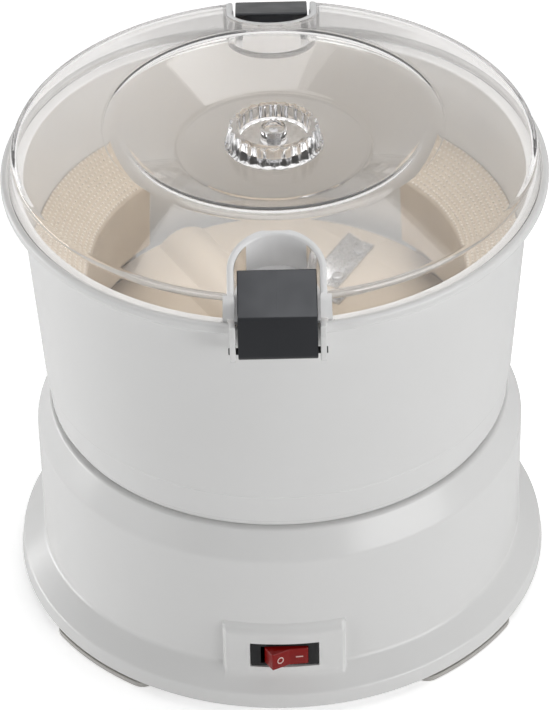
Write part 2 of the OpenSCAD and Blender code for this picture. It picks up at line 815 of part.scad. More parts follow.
module internal_leads() {
  y_tab = y_switch_back + tab_l;
  y_face = y_block - block_d / 2;
  z_port = z_board + block_h / 3;
  board_top = z_board + board_t;
  color("firebrick") lead([
    [-block_w / 4, y_face, z_port], [-block_w / 4, y_face - 12, z_port],
    [-20, y_face - 30, z_lead], [-20, y_tab + 20, z_lead],
    [tab_x(0), y_tab + 10, z_switch], [tab_x(0), y_tab, z_switch]
  ]);
  color("navy") lead([
    [block_w / 4, y_face, z_port], [block_w / 4, y_face - 16, z_port],
    [x_board - 8, board_d / 2 + 8, board_top + 4], [x_board - 8, board_d / 2 - 4, board_top + 4],
    [x_board - 8, board_d / 2 - 4, board_top]
  ]);
  color("firebrick") lead([
    [tab_x(1), y_tab, z_switch], [tab_x(1), y_tab + 8, z_switch],
    [x_board, -board_d / 2 - 8, board_top + 4], [x_board, -board_d / 2 + 2, board_top + 4],
    [x_board, -board_d / 2 + 2, board_top]
  ]);
  color("navy") for (y = [-3, 3])
    lead([
      [x_motor + 18, 2 * y, z_can - bell_t], [x_motor + 18, 2 * y, z_lead + lead_r],
      [x_board - board_w / 2 - 6, y, z_lead + lead_r],
      [x_board - board_w / 2 - 6, y, board_top + 4],
      [x_board - board_w / 2 + 2, y, board_top + 4],
      [x_board - board_w / 2 + 2, y, board_top]
    ]);
}

// ---------------------------------------------------------------- gear plate and bushes

module gear_plate() {
  x0 = plate_screw_x[0];
  x1 = plate_screw_x[1];
  y1 = plate_screw_y;
  m = plate_margin;
  color(grey_plastic) difference() {
    union() {
      translate([x0 - m / 2, -y1, z_plate]) cube([x1 - x0 + m, 2 * y1, plate_t]);
      translate([x0, -y1 - m / 2, z_plate]) cube([x1 - x0, 2 * y1 + m, plate_t]);
      for (i = [0:3]) round_post(plate_screw_at(i), z_plate, z_plate + plate_t, m / 2);
      round_post([0, 0], z_plate - bush_down, z_plate + plate_t, plate_boss_r);
    }
    round_post([0, 0], z_plate - bush_down - 1, z_plate + plate_t + 1, bush_r);
    round_post([x_idler, 0], z_plate - 1, z_plate + plate_t + 1, axle_r);
    round_post([x_motor, 0], z_plate - 1, z_plate + plate_t + 1, motor_boss_r + run_gap);
    for (i = [0:3])
      round_post(plate_screw_at(i), z_plate - 1, z_plate + plate_t + 1, screw_r + screw_gap);
    for (s = [-1, 1])
      round_post([x_motor, s * motor_screw_y], z_plate - 1, z_plate + plate_t + 1,
        screw_r + screw_gap);
  }
}

module plate_screws() {
  color(steel) for (i = [0:3])
    translate([plate_screw_at(i)[0], plate_screw_at(i)[1], z_plate])
      screw(screw_r, screw_head_r, screw_head_h, plate_t + screw_bite);
}

module output_bush_upper() {
  color("darkgoldenrod") translate([0, 0, z_ceil - deck_boss_down])
    tube(bush_r, output_r + shaft_gap, z_deck + deck_boss_up - z_ceil + deck_boss_down);
}

module output_bush_lower() {
  color("darkgoldenrod") translate([0, 0, z_plate - bush_down])
    tube(bush_r, output_r + shaft_gap, plate_t + bush_down);
}

module idler_axle() {
  color(steel) round_post([x_idler, 0], z_plate, z_ceil, axle_r);
}

// ---------------------------------------------------------------- motor

module at_motor(z) {
  translate([x_motor, 0, z]) children();
}

module motor_can() {
  color("slategray") difference() {
    union() {
      at_motor(z_can) cylinder(r = motor_r, h = motor_h);
      at_motor(z_plate - eps) cylinder(r = motor_boss_r, h = motor_boss_h);
    }
    at_motor(z_can - 1) cylinder(r = motor_r - can_wall, h = motor_h - can_top_t + 1);
    at_motor(z_plate - can_top_t - 1)
      cylinder(r = motor_bush_r, h = can_top_t + motor_boss_h + 2);
    for (s = [-1, 1])
      round_post([x_motor, s * motor_screw_y], z_plate - can_top_t - 1, z_plate + 1,
        screw_r + screw_gap);
  }
}

module motor_end_bell() {
  color(grey_plastic) difference() {
    union() {
      at_motor(z_can - bell_t) cylinder(r = motor_r, h = bell_t);
      at_motor(z_can - eps)
        tube(motor_r - can_wall - screw_gap, motor_r - can_wall - bell_wall, bell_spigot);
      at_motor(z_can - bell_t)
        cylinder(r = motor_bush_r + bell_boss_wall, h = bell_t + bell_boss_h);
      for (s = [-1, 1])
        at_motor(z_can - eps) translate([s * (commutator_r + brush_gap + brush_l / 2 + 2), 0, 0])
          centred_box([brush_l - 2, 2 * brush_w, z_brush - z_can]);
    }
    at_motor(z_can - bell_t - 1) cylinder(r = motor_bush_r, h = bell_t + bell_boss_h + 2);
  }
}

module motor_bushes() {
  color("darkgoldenrod") {
    at_motor(z_plate - can_top_t)
      tube(motor_bush_r, motor_shaft_r + shaft_gap, can_top_t + motor_boss_h);
    at_motor(z_can - bell_t + 1) tube(motor_bush_r, motor_shaft_r + shaft_gap, motor_bush_h);
  }
}

module motor_magnets() {
  r = motor_r - can_wall - shaft_gap;
  color("dimgray") for (a = [90, 270])
    at_motor(z_armature) rotate([0, 0, a - magnet_sweep / 2])
      rotate_extrude(angle = magnet_sweep)
        translate([r - magnet_t, 0]) square([magnet_t, armature_h]);
}

module motor_brushes() {
  color("black") for (s = [-1, 1])
    at_motor(z_brush) translate([s * (commutator_r + brush_gap + brush_l / 2), 0, 0])
      centred_box([brush_l, brush_w, brush_t]);
}

module motor_screws() {
  color(steel) for (s = [-1, 1])
    translate([x_motor, s * motor_screw_y, z_plate + plate_t]) mirror([0, 0, 1])
      screw(screw_r, motor_head_r, screw_head_h, plate_t + can_top_t);
}

module motor_shaft() {
  z0 = z_can - bell_t + 1;
  color(steel) at_motor(z0) cylinder(r = motor_shaft_r, h = z_idler + idler_gear_w + 1 - z0);
}

module motor_armature() {
  color("peru") difference() {
    at_motor(z_armature) cylinder(r = armature_r, h = armature_h);
    at_motor(z_armature - 1) cylinder(r = motor_shaft_r, h = armature_h + 2);
    for (i = [0:armature_slots - 1])
      at_motor(z_armature - 1) rotate([0, 0, 360 / armature_slots * i])
        translate([armature_r - slot_depth, -slot_w / 2, 0])
          cube([2 * slot_depth, slot_w, armature_h + 2]);
  }
}

module motor_commutator() {
  color("chocolate") at_motor(z_commutator) tube(commutator_r, motor_shaft_r, commutator_h);
}

module motor_fan() {
  fan_r = armature_r + fan_over;
  color(grey_plastic) difference() {
    at_motor(z_fan) {
      cylinder(r = fan_r, h = fan_t);
      for (i = [0:fan_blades - 1]) rotate([0, 0, 360 / fan_blades * i])
        translate([motor_shaft_r + fan_root, -fan_blade_w / 2, -fan_blade_h + eps])
          cube([fan_r - motor_shaft_r - fan_root - 1, fan_blade_w, fan_blade_h]);
    }
    at_motor(z_fan - fan_blade_h - 1) cylinder(r = motor_shaft_r, h = fan_blade_h + fan_t + 2);
  }
}

// ---------------------------------------------------------------- gears

module motor_pinion() {
  color("darkgoldenrod") difference() {
    at_motor(z_idler) spur(mod_1, pinion_teeth, idler_gear_w, mesh_turn(idler_teeth, pinion_teeth));
    at_motor(z_idler - 1) cylinder(r = motor_shaft_r, h = idler_gear_w + 2);
  }
}

module idler_gear() {
  color("ivory") difference() {
    translate([x_idler, 0, z_idler]) {
      spur(mod_1, idler_teeth, idler_gear_w);
      translate([0, 0, idler_gear_w - eps])
        spur(mod_2, idler_pinion_teeth, gear_gap + main_gear_w,
          mesh_turn(main_teeth, idler_pinion_teeth));
    }
    round_post([x_idler, 0], z_idler - 1, z_ceil, axle_r + shaft_gap);
  }
}

module main_gear() {
  color("ivory") difference() {
    union() {
      translate([0, 0, z_main]) spur(mod_2, main_teeth, main_gear_w);
      round_post([0, 0], z_main - hub_h, z_main + eps, hub_r);
    }
    round_post([0, 0], z_main - hub_h - 1, z_main + main_gear_w + 1, output_r);
    for (i = [0:web_holes - 1]) rotate([0, 0, 360 / web_holes * (i + 0.5)])
      round_post([web_ring, 0], z_main - 1, z_main + main_gear_w + 1, web_hole_r);
  }
}

module output_shaft() {
  color(steel) round_post([0, 0], z_shaft_end, z_dog + dog_h / 2, output_r);
}

module output_ring() {
  color(steel) translate([0, 0, z_plate - bush_down - run_gap - retainer_t])
    tube(output_r + retainer_w, output_r, retainer_t);
}

module drive_dog() {
  color(steel) difference() {
    translate([0, 0, z_dog]) hex(dog_flat, dog_h);
    round_post([0, 0], z_dog - 1, z_dog + dog_h / 2, output_r);
  }
}

// ---------------------------------------------------------------- bowl

// Outer radius of the bowl wall at height z
function wall_at(z) =
  let (r0 = foot_wall_r + band_step, z0 = z_band + band_step)
    r0 + (bowl_top_r - r0) * (z - z0) / (z_wall_top - z0);

function bowl_outline() = concat(
  [
    [foot_wall_r - ring_in, z_deck + run_gap],
    [foot_wall_r - ring_in, z_bowl],
    [bowl_foot_r - small_bevel, z_bowl],
    [bowl_foot_r, z_bowl + small_bevel],
    [foot_wall_r, z_band],
    [foot_wall_r + band_step, z_band + band_step],
    [bowl_top_r, z_wall_top]
  ],
  arc([bowl_top_r + wall_curve, z_wall_top], wall_curve, 180, 90, 4),
  arc([lip_r - lip_round, z_lip - lip_h + lip_round], lip_round, -90, 0, 3),
  arc([lip_r - lip_round, z_lip - lip_round], lip_round, 0, 90, 4),
  [
    [seat_r + seat_bevel, z_lip],
    [seat_r, z_lip - seat_bevel],
    [seat_r, z_rebate],
    [bowl_top_r - bowl_wall + small_bevel, z_rebate],
    [bowl_top_r - bowl_wall, z_rebate - small_bevel],
    [bowl_top_r - bowl_wall, z_wall_top],
    [wall_at(z_band + band_step) - bowl_wall, z_band + band_step]
  ],
  arc([foot_wall_r - bowl_wall - floor_round, z_floor + floor_round], floor_round, 0, -90, 4),
  [
    [chimney_r - eps, z_floor],
    [chimney_r - eps, z_floor - floor_t],
    [foot_wall_r - ring_in - ring_t, z_floor - floor_t],
    [foot_wall_r - ring_in - ring_t, z_deck + run_gap]
  ]
);

function chimney_outline() = [
  [chimney_r - chimney_wall, z_floor - floor_t],
  [chimney_r, z_floor - floor_t],
  [chimney_r, z_chimney - chimney_bevel],
  [chimney_r - chimney_bevel, z_chimney],
  [tube_r, z_chimney],
  [tube_r, z_chimney + tube_h - small_bevel],
  [tube_r - small_bevel, z_chimney + tube_h],
  [spindle_bush_r, z_chimney + tube_h],
  [spindle_bush_r, z_chimney - chimney_top_t],
  [chimney_r - chimney_wall, z_chimney - chimney_top_t]
];

function ear_outline() = concat(
  [
    [bowl_top_r - bowl_wall / 2, z_pin - ear_low],
    [bowl_top_r + ear_foot, z_pin - ear_low]
  ],
  arc([pin_at_r - ear_round_in, z_pin - ear_round_down], ear_round, -80, 0, 4),
  [
    [pin_at_r + ear_nose, z_pin + ear_shoulder],
    [pin_at_r + ear_tip, z_pin + ear_high],
    [seat_r + ear_back, z_pin + ear_high],
    [seat_r + ear_back, z_rebate - 1],
    [bowl_top_r - bowl_wall / 2, z_rebate - 1]
  ]
);

module ears() {
  for (s = [-1, 1])
    translate([0, s * (ear_in + ear_t / 2), 0]) side_view(ear_outline(), ear_t);
}

module ear_bores() {
  translate([pin_at_r, 0, z_pin]) rotate([90, 0, 0])
    cylinder(r = pin_r, h = 2 * (ear_in + ear_t) + 2, center = true);
}

module lip_cut() {
  translate([cut_back_r, -ear_in, z_pin - lip_cut_low])
    cube([2 * (lip_r - cut_back_r), 2 * ear_in, pin_drop + 2 * lip_cut_low]);
}

module bowl() {
  color(white_plastic) difference() {
    union() {
      difference() {
        rotate_extrude() polygon(bowl_outline());
        at_front() lip_cut();
        at_back() lip_cut();
      }
      rotate_extrude() polygon(chimney_outline());
      at_front() ears();
      at_back() ears();
    }
    at_front() ear_bores();
    at_back() ear_bores();
    bowl_keys(0.5);
  }
}

// Side view of the panel's hollow box: leg, back, ribbed face and lower face
function panel_outline() =
  let (
    gap = run_gap,
    r_top = wall_at(z_panel_top) - bowl_wall - gap,
    r_low = wall_at(z_panel_low) - bowl_wall - gap,
    r_leg = foot_wall_r - bowl_wall - gap - floor_round,
    r_nose = r_top - panel_reach,
    z_nose = z_panel_top - panel_reach * tan(panel_slope),
    face = [r_nose - r_top, z_nose - z_panel_top],
    out = [-face[1], face[0]] / norm(face)
  ) concat(
    [
      [disc_r + disc_gap, z_floor],
      [r_leg, z_floor],
      [r_low, z_panel_low - 4],
      [r_top, z_panel_top]
    ],
    [for (i = [0:panel_ribs - 1]) each [
      [r_top, z_panel_top] + face * (i + 0.5) / panel_ribs,
      [r_top, z_panel_top] + face * (i + 0.65) / panel_ribs - out * rib_h,
      [r_top, z_panel_top] + face * (i + 0.95) / panel_ribs
    ]],
    [
      [r_nose, z_nose],
      [r_nose - 1, z_nose - 3],
      [r_nose + panel_lean, z_panel_low],
      [disc_r + disc_gap, z_panel_low]
    ]
  );

function panel_hollow() =
  let (
    r_top = wall_at(z_panel_top) - bowl_wall - run_gap,
    r_low = wall_at(z_panel_low) - bowl_wall - run_gap,
    r_nose = r_top - panel_reach,
    z_nose = z_panel_top - panel_reach * tan(panel_slope),
    t = panel_t
  ) [
    [r_low - t, z_panel_low + t],
    [r_top - t, z_panel_top - 2 * t],
    [r_nose + t, z_nose - 2 * t],
    [r_nose + panel_lean + t, z_panel_low + t]
  ];

module side_panel() {
  color("antiquewhite") difference() {
    rotate([0, 0, -panel_sweep / 2]) rotate_extrude(angle = panel_sweep)
      polygon(panel_outline());
    rotate([0, 0, -panel_sweep / 2 + 2]) rotate_extrude(angle = panel_sweep - 4)
      polygon(panel_hollow());
  }
}

module left_panel() {
  rotate([0, 0, 180]) side_panel();
}

module right_panel() {
  side_panel();
}

module spindle_bush() {
  color("darkgoldenrod") translate([0, 0, z_chimney - chimney_top_t])
    tube(spindle_bush_r, spindle_r + shaft_gap, spindle_bush_h + chimney_top_t);
}

module spindle_seal() {
  color("#303030") translate([0, 0, z_chimney + spindle_bush_h])
    tube(spindle_bush_r, spindle_r + shaft_gap, seal_h);
}

module clip_pin() {
  translate([pin_at_r, 0, z_pin]) rotate([90, 0, 0])
    cylinder(r = pin_r, h = 2 * (ear_in + ear_t + pin_end), center = true);
}

module clip_pins() {
  color("#303030") {
    at_front() clip_pin();
    at_back() clip_pin();
  }
}

// ---------------------------------------------------------------- disc

module spindle() {
  z0 = z_socket + dog_h + 1;
  z1 = z_dome - dome_t;
  color(steel) {
    round_post([0, 0], z0, z1, spindle_r);
    translate([0, 0, z1 - eps]) cylinder(r = hex_r, h = dome_t + nut_h - 2, $fn = 6);
  }
}

module drive_socket() {
  color(grey_plastic) difference() {
    translate([0, 0, z_socket]) cylinder(r = socket_r, h = socket_h);
    translate([0, 0, z_socket - 1]) hex(dog_flat + 2 * dog_gap, dog_h + 2);
    round_post([0, 0], z_socket, z_socket + socket_h + 1, spindle_r);
  }
}

function disc_outline() = [
  [disc_hole_r + 3, z_disc],
  [disc_r - 1, z_disc],
  [disc_r, z_disc + 1],
  [disc_r, z_disc + disc_t - 1],
  [disc_r - 1, z_disc + disc_t],
  [disc_hole_r + 6, z_disc + disc_t],
  [disc_hole_r + 2, z_disc + disc_t + 3],
  [dome_r + 3, z_dome - 3],
  [dome_r, z_dome],
  [hex_r - 2, z_dome],
  [hex_r - 2, z_dome - dome_t],
  [dome_r - 3, z_dome - dome_t],
  [dome_r, z_dome - dome_t - 4],
  [disc_hole_r, z_disc + 4]
];

module ridge() {
  r = (ridge_w * ridge_w / 4 + ridge_h * ridge_h) / (2 * ridge_h);
  a = asin(ridge_w / 2 / r);
  points = arc([0, ridge_h - r], r, 90 - a, 90 + a);
  translate([ridge_in, 0, z_disc + disc_t - eps]) rotate([90, 0, 90])
    linear_extrude(height = ridge_out - ridge_in) polygon(points);
}

module at_blade(i) {
  rotate([0, 0, 360 / blade_count * (i + 0.5)]) translate([blade_r, 0, z_disc + disc_t])
    children();
}

module peeling_disc() {
  color("whitesmoke") difference() {
    union() {
      rotate_extrude() polygon(disc_outline());
      for (i = [0:blade_count - 1]) rotate([0, 0, 360 / blade_count * i]) ridge();
    }
    translate([0, 0, z_dome - dome_t - 1]) cylinder(r = hex_r, h = dome_t + 2, $fn = 6);
    for (i = [0:blade_count - 1]) at_blade(i) {
      translate([-blade_l / 2 + 3, 2, -disc_t - 1]) cube([blade_l - 6, 8, disc_t + 2]);
      for (x = [-rivet_pitch / 2, rivet_pitch / 2])
        translate([x, -blade_w / 2 + 4, -disc_t - 1]) cylinder(r = rivet_r, h = disc_t + 2);
    }
  }
}

module disc_blades() {
  profile = [
    [-blade_w / 2, 0], [1, 0], [blade_w / 2 + 1, blade_lift],
    [blade_w / 2, blade_lift + blade_t / 2], [1, blade_t], [-blade_w / 2, blade_t]
  ];
  color(steel) for (i = [0:blade_count - 1]) at_blade(i) difference() {
    translate([-blade_l / 2, 0, 0]) rotate([90, 0, 90])
      linear_extrude(height = blade_l) polygon(profile);
    for (x = [-rivet_pitch / 2, rivet_pitch / 2])
      translate([x, -blade_w / 2 + 4, -1]) cylinder(r = rivet_r, h = blade_t + 2);
  }
}

module blade_rivets() {
  color(steel) for (i = [0:blade_count - 1]) at_blade(i)
    for (x = [-rivet_pitch / 2, rivet_pitch / 2])
      translate([x, -blade_w / 2 + 4, -disc_t]) {
        cylinder(r = rivet_r, h = disc_t + blade_t + rivet_head_h / 2);
        translate([0, 0, disc_t + blade_t]) cylinder(r = rivet_head_r, h = rivet_head_h);
      }
}

module disc_nut() {
  color(grey_plastic) difference() {
    union() {
      translate([0, 0, z_dome]) cylinder(r = nut_r, h = nut_h);
      for (i = [0:nut_ribs - 1]) rotate([0, 0, 360 / nut_ribs * i])
        round_post([nut_r, 0], z_dome, z_dome + nut_h - 1, 1.2);
    }
    translate([0, 0, z_dome - 1]) cylinder(r = hex_r, h = nut_h - 1, $fn = 6);
  }
}

// ---------------------------------------------------------------- lid and knob

// Upper surface of the lid, from the middle out to the foot of the skirt
function lid_top() = concat(
  [[knob_r, z_middle], [dish_r, z_dish]],
  arc([ring_r, z_ring + ring_h - ring_arc_r], ring_arc_r, 90 + ring_arc_a, 90 - ring_arc_a, 6),
  [
    [lid_r - lid_round, z_edge + lid_round * tan(lid_slope)],
    [lid_r - lid_round / 4, z_edge - lid_round / 10],
    [lid_r, z_edge - lid_round],
    [lid_r + skirt_flare, z_skirt]
  ]
);

// The same surface, moved in by the lid's wall
function lid_under() = concat(
  [[knob_r, z_middle - lid_t], [dish_r, z_dish - lid_t]],
  [[ring_r - ring_w / 2, z_ring - lid_t], [ring_r + ring_w / 2, z_ring - lid_t]],
  [[lid_r - 2 * lid_t, z_edge + (2 * tan(lid_slope) - 1) * lid_t]],
  [[lid_r - lid_t, z_edge - lid_round - lid_t], [lid_r + skirt_flare - lid_t, z_skirt]]
);

function reversed(v) = [for (i = [len(v) - 1:-1:0]) v[i]];

module lid_shell() {
  rotate_extrude()
    polygon(concat([[0, z_middle - lid_t], [0, z_middle]], lid_top(), reversed(lid_under())));
}

// Everything between the lid's upper surface and the foot of its skirt
module lid_core() {
  rotate_extrude() polygon(concat([[0, z_skirt], [0, z_middle]], lid_top()));
}

// U-shaped column of a clip pocket, with its bend towards the middle of the lid
module pocket_column(half, z0, z1) {
  round_post([pocket_c, 0], z0, z1, half);
  translate([pocket_c, -half, z0]) cube([60, 2 * half, z1 - z0]);
}

function pocket_z(r) = z_pocket - (r - pocket_apex) * tan(pocket_fall);

module pocket_walls() {
  intersection() {
    pocket_column(pocket_out, z_skirt - 1, z_ring + 10);
    lid_core();
  }
}

module pocket_hollow() {
  r0 = pocket_apex - 5;
  r1 = pocket_apex + 60;
  intersection() {
    pocket_column(pocket_in, z_skirt - 1, z_ring + 10);
    side_view([[r0, pocket_z(r0)], [r1, pocket_z(r1)], [r1, z_ring + 9], [r0, z_ring + 9]],
      4 * pocket_out);
  }
  side_view([
    [r0, pocket_z(r0) - pocket_floor_t],
    [lid_r - lid_t, pocket_z(lid_r - lid_t) - pocket_floor_t],
    [lid_r - lid_t, z_skirt - 2],
    [r0, z_skirt - 2]
  ], 2 * pocket_out + 4);
}

module pocket_catch() {
  r = clip_in_r + catch_t / 2 + catch_back;
  top = hook_z() - run_gap;
  translate([r - catch_t / 2, -catch_w / 2, pocket_z(r) - pocket_floor_t / 2])
    cube([catch_t, catch_w, top - pocket_z(r) + pocket_floor_t / 2]);
}

module lid() {
  color("lightcyan", 0.4) {
    difference() {
      union() {
        lid_shell();
        at_front() pocket_walls();
        at_back() pocket_walls();
      }
      at_front() pocket_hollow();
      at_back() pocket_hollow();
      round_post([0, 0], z_middle - lid_t - 1, z_middle + 1, knob_screw_r + screw_gap);
    }
    at_front() pocket_catch();
    at_back() pocket_catch();
  }
}

function flute_outline() = [
  for (i = [0:knob_flutes - 1]) each [
    polar(flute_r - flute_depth, 360 / knob_flutes * (i - 0.5)),
    polar(flute_r - flute_depth * 0.4, 360 / knob_flutes * (i - 0.3)),
    polar(flute_r, 360 / knob_flutes * (i - 0.12)),
    polar(flute_r, 360 / knob_flutes * (i + 0.12)),
    polar(flute_r - flute_depth * 0.4, 360 / knob_flutes * (i + 0.3))
  ]
];

module knob() {
  inner_r = knob_r * knob_top_r - knob_wall;
  color("lightcyan", 0.5) difference() {
    union() {
      translate([0, 0, z_middle])
        linear_extrude(height = knob_h, scale = knob_top_r) polygon(flute_outline());
      translate([0, 0, z_middle]) cylinder(r = knob_r, h = knob_foot_h);
    }
    difference() {
      translate([0, 0, z_middle + knob_floor])
        cylinder(r1 = inner_r - 1, r2 = inner_r, h = knob_h);
      translate([0, 0, z_middle + knob_floor - 1])
        cylinder(r = knob_boss_r, h = knob_boss_h - knob_floor + 1);
    }
    round_post([0, 0], z_middle - 1, z_middle + knob_boss_h - 2, knob_screw_r);
  }
}

module knob_screw() {
  color(steel) translate([0, 0, z_middle - lid_t])
    screw(knob_screw_r, knob_head_r, knob_head_h, lid_t + knob_boss_h - 2);
}

// ---------------------------------------------------------------- clips

function hook_z() = z_fold + (clip_reach - clip_lean) * tan(clip_roof) - clip_t / 2 - hook_h;

function clip_outline() =
  let (
    out = pin_at_r + knuckle_r,
    fold_r = out - clip_lean,
    in = clip_in_r,
    z_in = z_fold + (fold_r - in) * tan(clip_roof)
  ) [
    [out, z_pin],
    [fold_r, z_fold - 1],
    [fold_r - clip_bevel, z_fold + fold_rise],
    [in + clip_bevel, z_in],
    [in, z_in - clip_bevel],
    [in, hook_z() + hook_bevel],
    [in + hook_bevel, hook_z()],
    [in + clip_t - hook_bevel, hook_z()],
    [in + clip_t, hook_z() + hook_bevel],
    [in + clip_t, z_in - clip_t * tan(clip_roof) - clip_t],
    [fold_r - clip_t - fold_bevel, z_fold - clip_t + fold_bevel],
    [fold_r - clip_t, z_fold - clip_t - fold_bevel],
    [out - clip_t, z_pin]
  ];

module clip() {
  color("#4a4a4e") difference() {
    union() {
      side_view(clip_outline(), clip_w);
      translate([pin_at_r, 0, z_pin]) rotate([90, 0, 0])
        cylinder(r = knuckle_r, h = clip_w, center = true);
    }
    translate([pin_at_r, 0, z_pin]) rotate([90, 0, 0])
      cylinder(r = pin_r + shaft_gap, h = clip_w + 2, center = true);
  }
}

module front_clip() {
  at_front() clip();
}

module back_clip() {
  at_back() clip();
}

base_housing();
bottom_cover();
foot_pads();
cover_screws();
switch_body();
switch_terminals();
switch_rocker();
cord_gland();
terminal_block();
rectifier_board();
internal_leads();
gear_plate();
plate_screws();
output_bush_upper();
output_bush_lower();
idler_axle();
motor_can();
motor_end_bell();
motor_bushes();
motor_magnets();
motor_brushes();
motor_screws();
motor_shaft();
motor_armature();
motor_commutator();
motor_fan();
motor_pinion();
idler_gear();
main_gear();
output_shaft();
output_ring();
drive_dog();
bowl();
left_panel();
right_panel();
spindle_bush();
spindle_seal();
clip_pins();
spindle();
drive_socket();
peeling_disc();
disc_blades();
blade_rivets();
disc_nut();
lid();
knob();
knob_screw();
front_clip();
back_clip();
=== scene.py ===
"""Looks of the electric potato peeler, sized in millimetres. Lamps and camera are placed in metres."""
import json
import math
import bpy
import bmesh
from mathutils import Matrix, Vector

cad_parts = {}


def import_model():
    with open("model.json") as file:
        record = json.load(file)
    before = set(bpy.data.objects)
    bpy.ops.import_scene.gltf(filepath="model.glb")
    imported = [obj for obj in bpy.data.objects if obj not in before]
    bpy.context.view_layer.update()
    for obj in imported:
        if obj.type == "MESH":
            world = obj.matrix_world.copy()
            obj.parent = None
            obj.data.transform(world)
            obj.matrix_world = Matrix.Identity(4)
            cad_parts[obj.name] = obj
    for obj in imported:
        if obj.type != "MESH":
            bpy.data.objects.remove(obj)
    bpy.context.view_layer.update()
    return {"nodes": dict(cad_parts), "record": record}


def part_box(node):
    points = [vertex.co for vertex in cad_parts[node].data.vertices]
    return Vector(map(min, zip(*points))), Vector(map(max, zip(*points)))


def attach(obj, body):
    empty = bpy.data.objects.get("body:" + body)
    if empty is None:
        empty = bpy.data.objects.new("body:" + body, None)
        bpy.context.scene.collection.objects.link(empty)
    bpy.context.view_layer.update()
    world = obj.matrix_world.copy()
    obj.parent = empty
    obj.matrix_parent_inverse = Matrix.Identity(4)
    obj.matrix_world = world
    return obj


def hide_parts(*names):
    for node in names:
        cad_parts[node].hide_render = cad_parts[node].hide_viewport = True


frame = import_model()
scene = bpy.context.scene
MM = 0.001


def span(node):
    """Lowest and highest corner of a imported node, in millimetres."""
    low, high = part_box(node)
    return low / MM, high / MM


# -------- sizes

flange_r = span("base_housing")[1].x
lip_r = span("bowl")[1].x
skirt_r = span("lid")[1].x
knob_r = span("knob")[1].x
disc_r = span("peeling_disc")[1].x

wall = 2.5
key_rise = 4.0  # height of the keys on the deck
lip_over_panels = 39.7
z_flange = span("base_housing")[0].z
z_deck = span("base_housing")[1].z - key_rise
z_ceiling = z_deck - wall  # underside of the deck
z_bowl = span("bowl")[0].z  # underside of the bowl's foot ring
z_lip = span("left_panel")[1].z + lip_over_panels
z_skirt = span("lid")[0].z
z_middle = span("knob")[0].z  # middle of the lid, under the knob
z_knob_top = span("knob")[1].z
z_floor = span("left_panel")[0].z  # the panels stand on the bowl's floor
z_disc = span("peeling_disc")[0].z

base_r = flange_r - 12
z_slope = z_flange + 7.3
z_wall = z_slope + 9.4
z_shoulder = z_flange + 79
deck_r = base_r - 6.8
foot_band_r = deck_r - 0.7
band_top_r = foot_band_r + 1.1
bowl_top_r = lip_r - 8
z_foot_band = z_bowl + 3.2
z_band = z_foot_band + 15.2
z_under_lip = z_lip - 5.3
seat_r = lip_r - 3.2
z_seat = z_lip - 2.5
foot_turns = (45, 135, 225, 315)  # the cover's posts stand over the feet
key_turns = (30, 150, 270)  # the bowl's notches lie at the same turns
key_r, key_half = 103.0, 3.0  # middle of the keys, and half of their width
notch_high = key_rise + 0.2

pad_out, pad_half = 3.6, 29
pad_side = 2.2  # width of the steep edges left and right
pad_fall = 4.2  # height of the slope along the pad's top edge
pad_blend = 1.2  # softness of the pad's union with the wall
z_pad_high = z_flange + 41.5
z_switch = (span("switch_body")[0].z + span("switch_body")[1].z) / 2
bezel_half = span("switch_body")[1].x
bezel_face = -span("switch_body")[0].y
recess_face = bezel_face - 1.6
bezel_high = (span("switch_body")[1].z - span("switch_body")[0].z) / 2
rocker_pivot = 113.0  # from the base's axis to the rocker's
z_gland = (span("cord_gland")[0].z + span("cord_gland")[1].z) / 2

lid_r = skirt_r - 1.9
lid_t = 2.6
z_edge = z_lip + 12.4
lid_slope = math.radians(14.7)
ring_r, ring_half, ring_high = 73.0, 5.0, 1.4
dish_r = 44.0
z_ring = z_edge + (lid_r - ring_r - ring_half) * math.tan(lid_slope)
z_dish = z_middle - 1.0

pin_r = lip_r + 1
pin_hole_r = 1.5
z_pin = z_lip - 11.2
clip_half = span("front_clip")[1].x
clip_in = -span("front_clip")[1].y
z_fold = z_pin + 18.2
knuckle_r = 3.7
ear_in = clip_half + 1.05
ear_t = 2.6
pocket_in = clip_half + 1.3
pocket_out = pocket_in + 3.0
pocket_apex = clip_in - 20.2
pocket_c = pocket_apex + pocket_out  # centre of the pocket's round end
pocket_fall = math.radians(7.5)
rim_high = 0.5  # height of a pocket's rim over the lid
z_pocket = z_skirt + 2.4 + (lid_r - pocket_apex) * math.tan(pocket_fall)
z_tongue = z_pocket - 1.2  # tip of the clip's tongue

panel_top_r = 111.9
z_panel_top = span("left_panel")[1].z
panel_slope = math.radians(34)
panel_reach = 25.0
z_panel_low = z_disc + 13


# -------- outlines

def arc(centre, radius, start, end, steps=6):
    """Points on an arc, angles in degrees."""
    out = []
    for i in range(steps + 1):
        a = math.radians(start + (end - start) * i / steps)
        out.append((centre[0] + radius * math.cos(a), centre[1] + radius * math.sin(a)))
    return out


def circle(radius, count):
    """Points round a circle, the first on the first axis."""
    turns = [2 * math.pi * i / count for i in range(count)]
    return [(radius * math.cos(turn), radius * math.sin(turn)) for turn in turns]


def corner_arc(first, middle, last, turn, steps):
    """Points of a corner's arc from its first to its last point, by equal angles."""
    out = []
    u, v = first - middle, last - middle
    for k in range(steps + 1):
        t = k / steps
        out.append(tuple(middle + (u * math.sin((1 - t) * turn) + v * math.sin(t * turn)) / math.sin(turn)))
    return out


